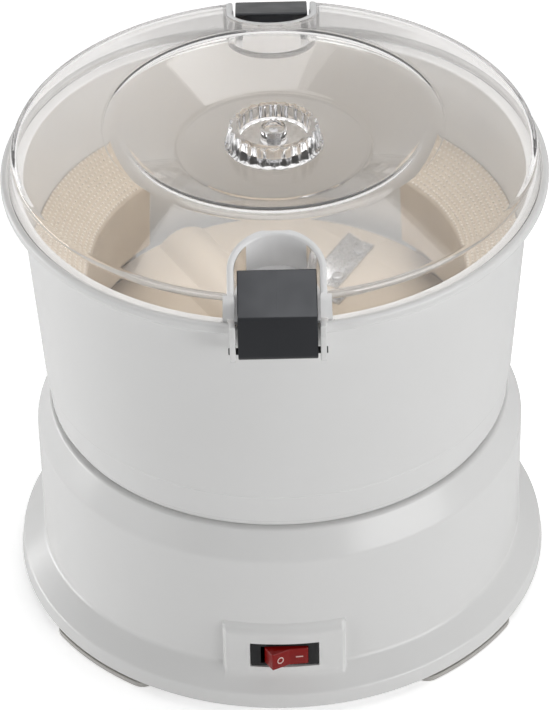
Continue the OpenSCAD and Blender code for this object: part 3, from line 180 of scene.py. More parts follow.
def rounded(corners, step=15.0, guard=0.35):
    """Closed outline from (across, up, radius) corners. Each arc gets a guard point on both
    sides, so that smooth shading stays inside it."""
    out = []
    n = len(corners)
    for i in range(n):
        before, here, after = corners[i - 1], corners[i], corners[(i + 1) % n]
        p = Vector(here[:2])
        a, b = Vector(before[:2]) - p, Vector(after[:2]) - p
        la, lb = a.length, b.length
        a.normalize()
        b.normalize()
        turn = math.pi - a.angle(b)
        if here[2] <= 0 or turn < 0.02:
            out.append(tuple(p))
            continue
        reach = min(here[2] * math.tan(turn / 2), 0.46 * la, 0.46 * lb)
        radius = reach / math.tan(turn / 2)
        steps = max(2, round(math.degrees(turn) / step))
        middle = p + (a + b).normalized() * (radius / math.cos(turn / 2))
        first, last = p + a * reach, p + b * reach
        out.append(tuple(first + a * min(guard, 0.1 * la)))
        out += corner_arc(first, middle, last, turn, steps)
        out.append(tuple(last + b * min(guard, 0.1 * lb)))
    return out


def facing(azimuth):
    """Turns a shape made along +X towards an azimuth, in degrees."""
    return Matrix.Rotation(math.radians(azimuth), 4, "Z")


def moved(x, y, z):
    """Moves a shape, in millimetres."""
    return Matrix.Translation((x * MM, y * MM, z * MM))


FRONT, BACK = facing(-90), facing(90)


# -------- mesh helpers

def linked(name, mesh):
    piece = bpy.data.objects.new(name, mesh)
    scene.collection.objects.link(piece)
    return piece


def piece_from(name, points, faces, matrix=None):
    mesh = bpy.data.meshes.new(name)
    mesh.from_pydata([Vector(p) * MM for p in points], [], faces)
    if matrix is not None:
        mesh.transform(matrix)
    mesh.update()
    tidy(mesh)
    return linked(name, mesh)


def tidy(mesh, weld=1e-6, close=False):
    """Merges doubles, closes slits if asked to, and turns every face outwards."""
    work = bmesh.new()
    work.from_mesh(mesh)
    bmesh.ops.remove_doubles(work, verts=work.verts, dist=weld)
    bmesh.ops.dissolve_degenerate(work, edges=work.edges, dist=1e-7)
    if close:
        bmesh.ops.holes_fill(work, edges=[edge for edge in work.edges if edge.is_boundary], sides=0)
    bmesh.ops.recalc_face_normals(work, faces=work.faces)
    work.to_mesh(mesh)
    work.free()
    mesh.update()


def smooth(piece, angle=32):
    for face in piece.data.polygons:
        face.use_smooth = True
    piece.data.set_sharp_from_angle(angle=math.radians(angle))


def baked(piece):
    """Turns the modifiers' result into the piece's own plain mesh."""
    graph = bpy.context.evaluated_depsgraph_get()
    result = bpy.data.meshes.new_from_object(piece.evaluated_get(graph), depsgraph=graph)
    piece.modifiers.clear()
    old = piece.data
    result.name = old.name
    piece.data = result
    bpy.data.meshes.remove(old)
    return piece


def bevelled(piece, width, steps=3, angle=35):
    edge = piece.modifiers.new("edges", "BEVEL")
    edge.width = width * MM
    edge.segments = steps
    edge.limit_method = "ANGLE"
    edge.angle_limit = math.radians(angle)
    edge.use_clamp_overlap = True
    return baked(piece)


def joined(piece, others, how):
    """Adds or cuts closed pieces, and removes them afterwards."""
    for other in others:
        step = piece.modifiers.new(how, "BOOLEAN")
        step.operation = how
        step.solver = "EXACT"
        step.object = other
        baked(piece)
        bpy.data.objects.remove(other)
    return piece


def lofted(name, rings, matrix=None, endless=False):
    """Closed mesh through rings of one length. It is capped at both ends, or runs into itself."""
    n, count = len(rings[0]), len(rings)
    faces = [] if endless else [list(range(n)), list(range(count * n - 1, (count - 1) * n - 1, -1))]
    for k in range(count if endless else count - 1):
        a, b = k * n, (k + 1) % count * n
        faces += [[a + i, a + (i + 1) % n, b + (i + 1) % n, b + i] for i in range(n)]
    return piece_from(name, [p for ring in rings for p in ring], faces, matrix)


def extruded(name, outline, half, matrix=None):
    """Side view (outwards, up), closed, over a width that is centred on Y."""
    return lofted(name, [[(p[0], y, p[1]) for p in outline] for y in (-half, half)], matrix)


def block(name, low, high, matrix=None):
    corners = [(x, y, z) for x in (low[0], high[0]) for y in (low[1], high[1]) for z in (low[2], high[2])]
    faces = [(0, 1, 3, 2), (4, 6, 7, 5), (0, 4, 5, 1), (2, 3, 7, 6), (0, 2, 6, 4), (1, 5, 7, 3)]
    return piece_from(name, corners, faces, matrix)


def rod(name, radius, half, matrix, sides=48):
    """Closed cylinder along Y."""
    return extruded(name, circle(radius, sides), half, matrix)


def sector(name, outline, start, end, steps):
    """Closed outline turned over part of a circle, with both ends closed."""
    rings = []
    for k in range(steps + 1):
        a = math.radians(start + (end - start) * k / steps)
        rings.append([(p[0] * math.cos(a), p[0] * math.sin(a), p[1]) for p in outline])
    return lofted(name, rings)


def copy_of(node):
    """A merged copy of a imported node, with its flat triangles joined to clean faces."""
    mesh = frame["nodes"][node].data.copy()
    work = bmesh.new()
    work.from_mesh(mesh)
    bmesh.ops.remove_doubles(work, verts=work.verts, dist=1e-5)
    bmesh.ops.dissolve_limit(work, angle_limit=math.radians(1), verts=work.verts, edges=work.edges)
    work.to_mesh(mesh)
    work.free()
    return linked(node + "_dressed", mesh)


# -------- node trees

def add_node(tree, kind, settings=None, **inputs):
    """Adds a node. An input goes by its label, with _ for a space, or by _ and its number."""
    made = tree.nodes.new(kind)
    for key, value in (settings or {}).items():
        setattr(made, key, value)
    for key, value in inputs.items():
        socket = made.inputs[int(key[1:])] if key[0] == "_" else made.inputs[key.replace("_", " ")]
        if hasattr(value, "links"):
            tree.links.new(value, socket)
        else:
            socket.default_value = value
    return made


def add_math(tree, operation, *values):
    inputs = {f"_{place}": value for place, value in enumerate(values)}
    return add_node(tree, "ShaderNodeMath", {"operation": operation}, **inputs).outputs[0]


class Tree:
    """A small geometry node tree with named inputs. It ends in Realize Instances and Set Material."""

    def __init__(self, name, inputs):
        self.group = bpy.data.node_groups.new(name, "GeometryNodeTree")
        face = self.group.interface
        face.new_socket("Geometry", in_out="INPUT", socket_type="NodeSocketGeometry")
        for label, kind, value in inputs:
            socket = face.new_socket(label, in_out="INPUT", socket_type="NodeSocket" + kind)
            socket.default_value = value
        face.new_socket("Material", in_out="INPUT", socket_type="NodeSocketMaterial")
        face.new_socket("Geometry", in_out="OUTPUT", socket_type="NodeSocketGeometry")
        self.enter = self.group.nodes.new("NodeGroupInput")
        self.leave = self.group.nodes.new("NodeGroupOutput")

    def __getitem__(self, label):
        return self.enter.outputs[label]

    def node(self, kind, settings=None, **inputs):
        return add_node(self.group, kind, settings, **inputs)

    def math(self, operation, *values):
        return add_math(self.group, operation, *values)

    def finish(self, geometry):
        real = self.node("GeometryNodeRealizeInstances", _0=geometry)
        dressed = self.node("GeometryNodeSetMaterial", _0=real.outputs[0], Material=self["Material"])
        self.group.links.new(dressed.outputs[0], self.leave.inputs[0])
        return self.group


def grown(name, start_mesh, group, values, material):
    """Runs a tree on a start mesh and keeps the plain result."""
    piece = linked(name, start_mesh)
    growth = piece.modifiers.new("growth", "NODES")
    growth.node_group = group
    ids = {s.name: s.identifier for s in group.interface.items_tree
           if s.item_type == "SOCKET" and s.in_out == "INPUT"}
    for label, value in values.items():
        growth[ids[label]] = value
    growth[ids["Material"]] = material
    piece.update_tag()
    baked(piece)
    tidy(piece.data)
    return piece


def turning_tree():
    """Turns a closed outline round the Z axis. The outline is (outwards less Radius, down)."""
    tree = Tree("turned_shell", [("Radius", "Float", 0.05), ("Segments", "Int", 192)])
    path = tree.node("GeometryNodeCurvePrimitiveCircle", Resolution=tree["Segments"], Radius=tree["Radius"])
    outline = tree.node("GeometryNodeMeshToCurve", Mesh=tree["Geometry"])
    shell = tree.node("GeometryNodeCurveToMesh", Curve=path.outputs["Curve"],
                      Profile_Curve=outline.outputs[0])
    return tree.finish(shell.outputs[0])


def stud_tree():
    """Rows of low round studs on a cone's inner face, from its top edge downwards and inwards."""
    tree = Tree("studded_face", [
        ("Columns", "Int", 58), ("Rows", "Int", 11), ("Sweep", "Float", 1.5), ("Turn", "Float", 0.0),
        ("Top Radius", "Float", 0.11), ("Top Height", "Float", 0.18), ("Length", "Float", 0.028),
        ("Slope", "Float", 0.6), ("Stud Radius", "Float", 0.0008), ("Stud Height", "Float", 0.5)])
    calc = tree.math
    grid = tree.node("GeometryNodeMeshGrid", Size_X=1.0, Size_Y=1.0, Vertices_X=tree["Columns"],
                     Vertices_Y=tree["Rows"])
    where = tree.node("ShaderNodeSeparateXYZ", Vector=tree.node("GeometryNodeInputPosition").outputs[0])
    along, down = where.outputs["X"], calc("ADD", where.outputs["Y"], 0.5)
    # every other row is set half a pitch on
    row = calc("ROUND", calc("MULTIPLY", down, calc("SUBTRACT", tree["Rows"], 1.0)))
    shift = calc("DIVIDE", calc("MULTIPLY", calc("MODULO", row, 2.0), 0.5), tree["Columns"])
    angle = calc("ADD", calc("MULTIPLY", calc("ADD", along, shift), tree["Sweep"]), tree["Turn"])
    run = calc("MULTIPLY", down, tree["Length"])
    level, tilt = calc("COSINE", tree["Slope"]), calc("SINE", tree["Slope"])
    radius = calc("SUBTRACT", tree["Top Radius"], calc("MULTIPLY", run, level))
    height = calc("SUBTRACT", tree["Top Height"], calc("MULTIPLY", run, tilt))
    cosine, sine = calc("COSINE", angle), calc("SINE", angle)
    place = tree.node("ShaderNodeCombineXYZ", X=calc("MULTIPLY", radius, cosine),
                      Y=calc("MULTIPLY", radius, sine), Z=height)
    inwards = calc("MULTIPLY", tilt, -1.0)
    normal = tree.node("ShaderNodeCombineXYZ", X=calc("MULTIPLY", cosine, inwards),
                       Y=calc("MULTIPLY", sine, inwards), Z=level)
    placed = tree.node("GeometryNodeSetPosition", Geometry=grid.outputs[0], Position=place.outputs[0])
    stud = tree.node("GeometryNodeMeshUVSphere", Segments=8, Rings=4, Radius=tree["Stud Radius"])
    flat = tree.node("ShaderNodeCombineXYZ", X=1.0, Y=1.0, Z=tree["Stud Height"])
    low = tree.node("GeometryNodeTransform", Geometry=stud.outputs[0], Scale=flat.outputs[0])
    aim = tree.node("FunctionNodeAlignRotationToVector", {"axis": "Z"}, Vector=normal.outputs[0])
    spread = tree.node("GeometryNodeInstanceOnPoints", Points=placed.outputs[0], Instance=low.outputs[0],
                       Rotation=aim.outputs[0])
    return tree.finish(spread.outputs[0])


def fluted_tree():
    """A grid whose X runs once round and whose Y runs along an outline sampled by the start mesh.
    The start mesh holds the outline as (outwards, flute share, up)."""
    tree = Tree("fluted_cup", [("Flutes", "Int", 24), ("Flute Depth", "Float", 0.0013),
                               ("Columns", "Int", 481), ("Points", "Int", 40)])
    calc = tree.math
    grid = tree.node("GeometryNodeMeshGrid", Size_X=1.0, Size_Y=1.0, Vertices_X=tree["Columns"],
                     Vertices_Y=tree["Points"])
    position = tree.node("GeometryNodeInputPosition").outputs[0]
    where = tree.node("ShaderNodeSeparateXYZ", Vector=position)
    angle = calc("MULTIPLY", where.outputs["X"], 2 * math.pi)
    last = calc("SUBTRACT", tree["Points"], 1.0)
    row = calc("ROUND", calc("MULTIPLY", calc("ADD", where.outputs["Y"], 0.5), last))
    at = tree.node("GeometryNodeSampleIndex", {"data_type": "FLOAT_VECTOR", "domain": "POINT"},
                   Geometry=tree["Geometry"], Value=position, Index=row)
    point = tree.node("ShaderNodeSeparateXYZ", Vector=at.outputs[0])
    turns = calc("COSINE", calc("MULTIPLY", angle, tree["Flutes"]))
    wave = calc("MULTIPLY", calc("SUBTRACT", 1.0, turns), 0.5)
    depth = calc("MULTIPLY", calc("POWER", wave, 0.8), tree["Flute Depth"])
    radius = calc("SUBTRACT", point.outputs["X"], calc("MULTIPLY", depth, point.outputs["Y"]))
    place = tree.node("ShaderNodeCombineXYZ", X=calc("MULTIPLY", radius, calc("COSINE", angle)),
                      Y=calc("MULTIPLY", radius, calc("SINE", angle)), Z=point.outputs["Z"])
    placed = tree.node("GeometryNodeSetPosition", Geometry=grid.outputs[0], Position=place.outputs[0])
    return tree.finish(placed.outputs[0])


TURNED, STUDDED, FLUTED = turning_tree(), stud_tree(), fluted_tree()


def turned(name, outline, material, segments=192):
    path_r = 50.0
    mesh = bpy.data.meshes.new(name)
    n = len(outline)
    points = [((p[0] - path_r) * MM, -p[1] * MM, 0) for p in outline]
    mesh.from_pydata(points, [(i, (i + 1) % n) for i in range(n)], [])
    return grown(name, mesh, TURNED, {"Radius": path_r * MM, "Segments": segments}, material)


# -------- finishes

finishes = {}


class Finish:
    """A node material that starts from one Principled shader, kept in finishes by its name."""

    def __init__(self, name, colour, rough, metal=0.0, ior=1.5, gloss=0.5):
        self.material = bpy.data.materials.new(name)
        self.material.use_nodes = True
        self.tree = self.material.node_tree
        self.shader = self.tree.nodes["Principled BSDF"]
        self.out = self.tree.nodes["Material Output"]
        self.colour = colour
        for label, value in (("Base Color", (*colour, 1)), ("Roughness", rough), ("Metallic", metal),
                             ("IOR", ior), ("Specular IOR Level", gloss)):
            self.shader.inputs[label].default_value = value
        self.place = self.add("ShaderNodeTexCoord").outputs["Object"]
        finishes[name] = self.material

    def add(self, kind, settings=None, **inputs):
        return add_node(self.tree, kind, settings, **inputs)

    def noise(self, scale, detail=3.0, stretch=(1, 1, 1)):
        source = self.add("ShaderNodeMapping", Vector=self.place, Scale=stretch).outputs[0]
        return self.add("ShaderNodeTexNoise", Vector=source, Scale=scale, Detail=detail).outputs["Fac"]

    def ranged(self, value, low, high, start=0.3, end=0.7):
        return self.add("ShaderNodeMapRange", Value=value, From_Min=start, From_Max=end, To_Min=low,
                        To_Max=high).outputs[0]

    def tint(self, factor, other):
        """Colour that drifts between the base colour and another."""
        mix = self.add("ShaderNodeMix", {"data_type": "RGBA"}, Factor=factor, _6=(*self.colour, 1),
                       _7=(*other, 1))
        self.tree.links.new(mix.outputs[2], self.shader.inputs["Base Color"])

    def rough(self, value):
        self.tree.links.new(value, self.shader.inputs["Roughness"])

    def bump(self, height, strength, distance):
        made = self.add("ShaderNodeBump", Height=height, Strength=strength, Distance=distance)
        self.tree.links.new(made.outputs[0], self.shader.inputs["Normal"])


def moulded(name, colour, other, low, high, grain=900, depth=0.00003, gloss=0.5):
    """Injection-moulded plastic: slow drift in colour and gloss, and a fine skin."""
    made = Finish(name, colour, (low + high) / 2, gloss=gloss)
    made.tint(made.ranged(made.noise(26), 0, 1), other)
    made.rough(made.ranged(made.noise(60, 4), low, high))
    made.bump(made.noise(grain, 2), 0.25, depth)


def parted(name, colour, other, low, high, gloss):
    """Moulded plastic with a cool gloss and the mould's faint parting line along the middle."""
    made = Finish(name, colour, (low + high) / 2, gloss=gloss)
    made.shader.inputs["Specular Tint"].default_value = (0.95, 0.975, 1.03, 1)
    made.tint(made.ranged(made.noise(40), 0, 1), other)
    made.rough(made.ranged(made.noise(90, 4), low, high))
    across = made.add("ShaderNodeSeparateXYZ", Vector=made.place).outputs["X"]
    seam = made.ranged(add_math(made.tree, "ABSOLUTE", across), 1, 0, 0.00008, 0.0004)
    grain = add_math(made.tree, "MULTIPLY", made.noise(1400, 2), 0.3)
    made.bump(add_math(made.tree, "ADD", seam, grain), 0.22, 0.00008)


def metal(name, colour, other, low, high, stretch=(1, 1, 14)):
    """Metal with fine marks that run one way."""
    made = Finish(name, colour, (low + high) / 2, metal=1.0)
    marks = made.noise(420, 4, stretch)
    made.tint(made.ranged(marks, 0, 1), other)
    made.rough(made.ranged(marks, low, high))
    made.bump(marks, 0.2, 0.00002)


def clear(name, colour, rough, shade, diffuse_share=0.02):
    """Clear plastic that lets part of the lamps' light through and greys along its thick edges."""
    made = Finish(name, colour, rough, ior=1.49)
    made.shader.inputs["Transmission Weight"].default_value = 1.0 - diffuse_share
    body = made.add("ShaderNodeVolumeAbsorption", Color=(0.62, 0.63, 0.66, 1), Density=28.0)
    made.tree.links.new(body.outputs[0], made.out.inputs["Volume"])
    made.rough(made.ranged(made.noise(14), rough * 0.6, rough * 1.6))
    made.bump(made.noise(30, 2), 0.12, 0.00006)
    path = made.add("ShaderNodeLightPath")
    thin = made.add("ShaderNodeBsdfTransparent", Color=(*shade, 1))
    mix = made.add("ShaderNodeMixShader", _0=path.outputs["Is Shadow Ray"], _1=made.shader.outputs[0],
                   _2=thin.outputs[0])
    made.tree.links.new(mix.outputs[0], made.out.inputs["Surface"])


def spun(name, colour, other):
    """Wound copper: fine turns round the Z axis."""
    made = Finish(name, colour, 0.35, metal=1.0)
    turns = made.add("ShaderNodeTexWave", {"bands_direction": "Z"}, Vector=made.place, Scale=900.0,
                     Distortion=1.0)
    made.tint(turns.outputs["Fac"], other)
    made.bump(turns.outputs["Fac"], 0.4, 0.0001)


moulded("white_shell", (0.80, 0.80, 0.794), (0.792, 0.791, 0.784), 0.24, 0.27, 900, 0.000015)
moulded("foot_plastic", (0.55, 0.535, 0.51), (0.50, 0.485, 0.46), 0.5, 0.65, 500, 0.0001)
moulded("panel_plastic", (0.66, 0.57, 0.46), (0.59, 0.50, 0.39), 0.32, 0.45)
parted("clip_plastic", (0.009, 0.0095, 0.011), (0.007, 0.0075, 0.009), 0.28, 0.38, 0.48)
clear("clear_plastic", (0.975, 0.965, 0.955), 0.025, (0.86, 0.85, 0.84))
# painted highlight for the pockets' rims, legs, round ends and floors: mostly white diffuse, in place of the
# light that the clear plastic reflects and carries there
clear("clear_painted_highlight", (0.99, 0.99, 0.99), 0.16, (0.86, 0.85, 0.86), 0.92)
moulded("black_plastic", (0.012, 0.012, 0.013), (0.016, 0.016, 0.017), 0.3, 0.42, 1200, gloss=0.3)
moulded("red_plastic", (0.30, 0.005, 0.004), (0.24, 0.004, 0.003), 0.1, 0.16, gloss=0.3)
moulded("grey_plastic", (0.20, 0.20, 0.21), (0.17, 0.17, 0.18), 0.4, 0.52)
moulded("gear_plastic", (0.76, 0.72, 0.62), (0.70, 0.66, 0.56), 0.35, 0.5)
moulded("ivory_plastic", (0.74, 0.71, 0.62), (0.70, 0.66, 0.57), 0.35, 0.5)
metal("steel", (0.62, 0.62, 0.63), (0.54, 0.54, 0.55), 0.22, 0.36)
metal("zinc_steel", (0.50, 0.52, 0.54), (0.42, 0.44, 0.45), 0.35, 0.5, (3, 3, 3))
metal("bronze", (0.50, 0.34, 0.16), (0.42, 0.28, 0.13), 0.4, 0.55, (4, 4, 4))
metal("brass", (0.74, 0.56, 0.26), (0.66, 0.49, 0.22), 0.25, 0.4)
moulded("ferrite", (0.09, 0.09, 0.10), (0.07, 0.07, 0.08), 0.6, 0.75, 700, 0.0001)
moulded("carbon", (0.035, 0.035, 0.035), (0.05, 0.05, 0.05), 0.55, 0.7, 700, 0.0001)
spun("copper", (0.72, 0.36, 0.20), (0.50, 0.22, 0.12))
moulded("board", (0.08, 0.26, 0.14), (0.06, 0.21, 0.11), 0.35, 0.5)
moulded("lead_sleeve", (0.08, 0.10, 0.32), (0.06, 0.08, 0.27), 0.4, 0.55)
moulded("seal_rubber", (0.04, 0.04, 0.04), (0.055, 0.055, 0.055), 0.6, 0.75, 600, 0.0001)
moulded("mark_paint", (0.86, 0.66, 0.62), (0.80, 0.60, 0.56), 0.3, 0.4)
moulded("stud_tips", (0.84, 0.78, 0.70), (0.80, 0.73, 0.64), 0.3, 0.4)

slot_of = {row["node"]: row["material_slot"] for row in frame["record"]["subparts"]}
body_of = {node: body for body, nodes in frame["record"]["behaviour"]["bodies"].items() for node in nodes}


def dress(piece, slot, node=None, body=None, finish=None):
    """Gives a piece its finish and body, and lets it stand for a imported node."""
    piece.data.materials.clear()
    piece.data.materials.append(finishes[finish or slot])
    for face in piece.data.polygons:
        face.material_index = 0
    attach(piece, body or body_of[node])
    if node:
        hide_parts(node)


# -------- base housing

def edge_rise(inside, width, foot):
    """Share of the full height at a distance inside an edge: a hollow foot, then a rounded shoulder."""
    t = min(max((inside + foot) / (width + foot), 0), 1)
    return t * t * (3 - 2 * t)


def pad_rise(across, up):
    """How far the switch pad stands out at a place on the wall. Its sides are steep, its top edge
    is a wide slope."""
    side = edge_rise(pad_half - abs(across), pad_side, foot=0.4)
    top = edge_rise(z_pad_high - up, pad_fall, foot=0.6)
    return pad_out * side * top


def with_pad(r, z, across):
    """Radius of the wall or the flange's slope, softly joined with the switch pad."""
    target = base_r + pad_rise(across, z)
    if target <= base_r + 0.01:
        return r
    return target + pad_blend * math.log1p(math.exp((r - target) / pad_blend))


def switch_block(name, margin, outwards, inwards):
    """Block round the switch's middle. It is larger than the bezel by a margin on every side, and
    reaches outwards and inwards from the recess's face."""
    return block(name, (-bezel_half - margin, -recess_face - outwards, z_switch - bezel_high - margin),
                 (bezel_half + margin, -recess_face + inwards, z_switch + bezel_high + margin))


def wall_rows(outline):
    """The outline with more points where its rows follow the pad: fine on the flange's slope,
    coarser up the wall."""
    rows = []
    for (r, z), (next_r, next_z) in zip(outline, outline[1:] + outline[:1]):
        rows.append((r, z))
        rise = abs(z - next_z)
        outer = min(r, next_r) > base_r - 0.5 and max(r, next_r) < flange_r - 1.2
        if outer and rise > 0.4:
            pitch = 0.35 if max(z, next_z) < z_wall + 3 else 0.9
            cuts = max(2, int(rise / pitch))
            rows += [(r + (next_r - r) * k / cuts, z + (next_z - z) * k / cuts) for k in range(1, cuts)]
    return rows


def shell_with_pad(rows):
    """Turns the rows round the base, with the switch pad raised at the front."""
    # even steps all round, and fine ones at the pad's two sides
    angles = {round(360 * k / 192, 4) for k in range(192)}
    pad_turn = math.degrees(math.asin(pad_half / (base_r + pad_out)))
    for side in (-1, 1):
        angles |= {round((270 + side * (pad_turn + k * 0.1)) % 360, 4) for k in range(-14, 14)}
    rings = []
    for degrees in sorted(angles):
        turn = math.radians(degrees)
        ca, sa = math.cos(turn), math.sin(turn)
        near = -sa * base_r > 0 and abs(ca) * base_r < pad_half + 4
        ring = []
        for r, z in rows:
            if near and r > base_r - 0.5 and z_slope < z < z_pad_high + 2:
                r = with_pad(r, z, ca * (base_r + pad_out))
            ring.append((r * ca, r * sa, z))
        rings.append(ring)
    return lofted("base_shell", rings, endless=True)


def deck_key(turn):
    """One of the keys on the deck that stop the bowl from turning."""
    key = block("key", (key_r - 2.5, -key_half, z_deck - 0.5), (key_r + 2.5, key_half, z_deck + key_rise))
    bevelled(key, 0.6)
    key.data.transform(facing(turn))
    return key


def cover_post(degrees):
    """A post for one of the bottom cover's screws, from the cover up into the ceiling."""
    post_at, post_r, z_post = 98.5, 5, z_flange + 3
    turn = math.radians(degrees)
    half = (z_ceiling + 1 - z_post) / 2
    place = moved(post_at * math.cos(turn), post_at * math.sin(turn), z_post + half)
    return rod("post", post_r, half, place @ Matrix.Rotation(math.pi / 2, 4, "X"), 32)


def housing():
    hub_r, hub_bore_r = 11.05, 8.05
    z_hub_top, z_hub_low = z_deck + 2.5, z_ceiling - 3.5
    outline = rounded([
        (flange_r, z_flange, 0.5), (flange_r - 1, z_slope, 2.0), (base_r, z_wall, 3.5),
        (base_r, z_shoulder, 5), (deck_r, z_deck, 1.8), (hub_r, z_deck, 1.0), (hub_r, z_hub_top, 0.6),
        (hub_bore_r, z_hub_top, 0.3), (hub_bore_r, z_hub_low, 0), (hub_r, z_hub_low, 0),
        (hub_r, z_ceiling, 0), (deck_r - wall, z_ceiling, 0), (base_r - wall, z_shoulder, 0),
        (base_r - wall, z_wall, 0), (flange_r - 3.5, z_slope - wall, 0), (flange_r - 3.5, z_flange, 0)])
    piece = shell_with_pad(wall_rows(outline))
    recess = switch_block("recess", margin=0.3, outwards=8, inwards=0)
    window = switch_block("window", margin=-1.1, outwards=1, inwards=13.6)
    gland_boss = rod("boss", 11, 4.5, moved(0, base_r - 3.5, z_gland), 64)
    gland_hole = rod("bore", 7, 12, moved(0, base_r, z_gland), 64)
    joined(piece, [gland_boss], "UNION")
    joined(piece, [recess, window, gland_hole], "DIFFERENCE")
    posts = [cover_post(degrees) for degrees in foot_turns]
    joined(piece, [deck_key(turn) for turn in key_turns] + posts, "UNION")
    smooth(piece)
    dress(piece, "white_shell", "base_housing")


def feet():
    """Four pads under the flange, each with rounded ends and a shadow line along its top."""
    inner, outer, half_turn, end_r = 114, flange_r + 0.2, 14.5, 7.0
    z_line, line_r = z_flange - 0.9, outer - 2.2
    outline = rounded([(inner, 0, 1.2), (outer, 0, 1.4), (outer, z_line, 0.5), (line_r, z_line, 0.3),
                       (line_r, z_flange, 0), (inner, z_flange, 0)])
    work = bmesh.new()
    for turn in foot_turns:
        foot = sector("foot", outline, turn - half_turn, turn + half_turn, 48)
        # the outer edge draws in towards both ends
        for v in foot.data.vertices:
            r = v.co.xy.length / MM
            off = math.degrees(math.atan2(v.co.y, v.co.x)) - turn
            run = math.radians(half_turn - abs((off + 180) % 360 - 180)) * outer
            if run < end_r:
                pull = end_r - math.sqrt(end_r ** 2 - (end_r - max(run, 0)) ** 2)
                share = (inner + (r - inner) * (1 - pull / (outer - inner))) / r
                v.co.x *= share
                v.co.y *= share
        work.from_mesh(foot.data)
        bpy.data.objects.remove(foot)
    mesh = bpy.data.meshes.new("feet")
    work.to_mesh(mesh)
    work.free()
    piece = linked("feet", mesh)
    smooth(piece)
    dress(piece, "foot_plastic", "foot_pads")


# -------- switch

rocker_half, rocker_middle = 8.6, 8  # half length, and height in the middle
rocker_dish, rocker_press = math.radians(10.5), math.radians(16)
# the rocker's side view (along, out of the switch) is laid down, then its right end is pressed in
rocker_lay = Matrix(((1, 0, 0, 0), (0, 0, -1, 0), (0, 1, 0, 0), (0, 0, 0, 1)))
rocker_place = moved(0, -rocker_pivot, z_switch) @ Matrix.Rotation(rocker_press, 4, "Z") @ rocker_lay


def bezel():
    """Bezel and case of the switch, as one piece with a window for the rocker."""
    plate_half, window_half, window_high = 0.8, 11.1, 5
    low, high = z_switch - bezel_high, z_switch + bezel_high
    plate = rounded([(-bezel_half, low, 0.8), (bezel_half, low, 0.8), (bezel_half, high, 0.8),
                     (-bezel_half, high, 0.8)], guard=0.1)
    piece = extruded("bezel", plate, plate_half, moved(0, -(bezel_face - plate_half), 0))
    bevelled(piece, 0.45)
    joined(piece, [switch_block("switch_case", margin=-1.4, outwards=0.3, inwards=22)], "UNION")
    window = block("window", (-window_half, -bezel_face - 1, z_switch - window_high),
                   (window_half, -bezel_face + 11, z_switch + window_high))
    joined(piece, [window], "DIFFERENCE")
    smooth(piece, 30)
    dress(piece, "black_plastic", "switch_body")


def rocker():
    end, end_lean, bottom_half, bottom = 6.7, math.radians(16), 5, -3
    top = rocker_middle + rocker_half * math.tan(rocker_dish)
    foot = rocker_half + end * math.tan(end_lean)
    outline = rounded([
        (0, rocker_middle, 2.5), (rocker_half, top, 0.5), (foot, top - end, 0.5), (bottom_half, bottom, 0.5),
        (-bottom_half, bottom, 0.5), (-foot, top - end, 0.5), (-rocker_half, top, 0.5)], guard=0.12)
    piece = extruded("rocker", outline, 4.7)
    bevelled(piece, 0.35, angle=50)
    piece.data.transform(rocker_place)
    smooth(piece, 30)
    dress(piece, "red_plastic", "switch_rocker")


def rocker_marks():
    """Raised marks: a ring on the left half, a bar on the right half."""
    mark_at, sunk, raised, stretch = 4.6, -0.1, 0.16, 1.15
    steps = ((1.15, sunk), (1.2, raised), (1.62, raised), (1.67, sunk))
    rings = [[(x, y * stretch, h) for x, y in circle(r, 40)] for r, h in steps]
    ring = lofted("mark_ring", rings, endless=True)
    bar = block("mark_bar", (-0.28, -1.7, sunk), (0.28, 1.7, raised), Matrix.Rotation(math.pi / 2, 4, "Z"))
    for mark, sign in ((ring, -1), (bar, 1)):
        lean = Matrix.Rotation(-sign * rocker_dish, 4, "Y")
        spot = moved(sign * mark_at, 0, rocker_middle + mark_at * math.tan(rocker_dish))
        mark.data.transform(rocker_place @ spot @ lean)
        smooth(mark, 30)
        dress(mark, "red_plastic", body="rocker", finish="mark_paint")


# -------- bowl

def ears(way):
    """Two ears that hold a clip's pin."""
    root, z_low, z_top = bowl_top_r - 1.25, z_pin - 6.5, z_pin + 13.5
    belly = [(x, z, 0) for x, z in arc((pin_r - 1, z_pin - 0.5), 5, -80, 0, 8)]
    shape = rounded([(root, z_low, 0), (bowl_top_r + 3, z_low, 2)] + belly + [
        (pin_r + 3.4, z_pin + 9, 2), (pin_r + 1.5, z_top, 0.9), (seat_r + 1, z_top, 0.8),
        (seat_r + 1, z_seat - 1, 0), (root, z_seat - 1, 0)], guard=0.15)
    pair = []
    for sign in (-1, 1):
        ear = extruded("ear", shape, ear_t / 2, moved(0, sign * (ear_in + ear_t / 2), 0))
        bevelled(ear, 0.45, angle=50)
        ear.data.transform(way)
        pair.append(ear)
    return pair


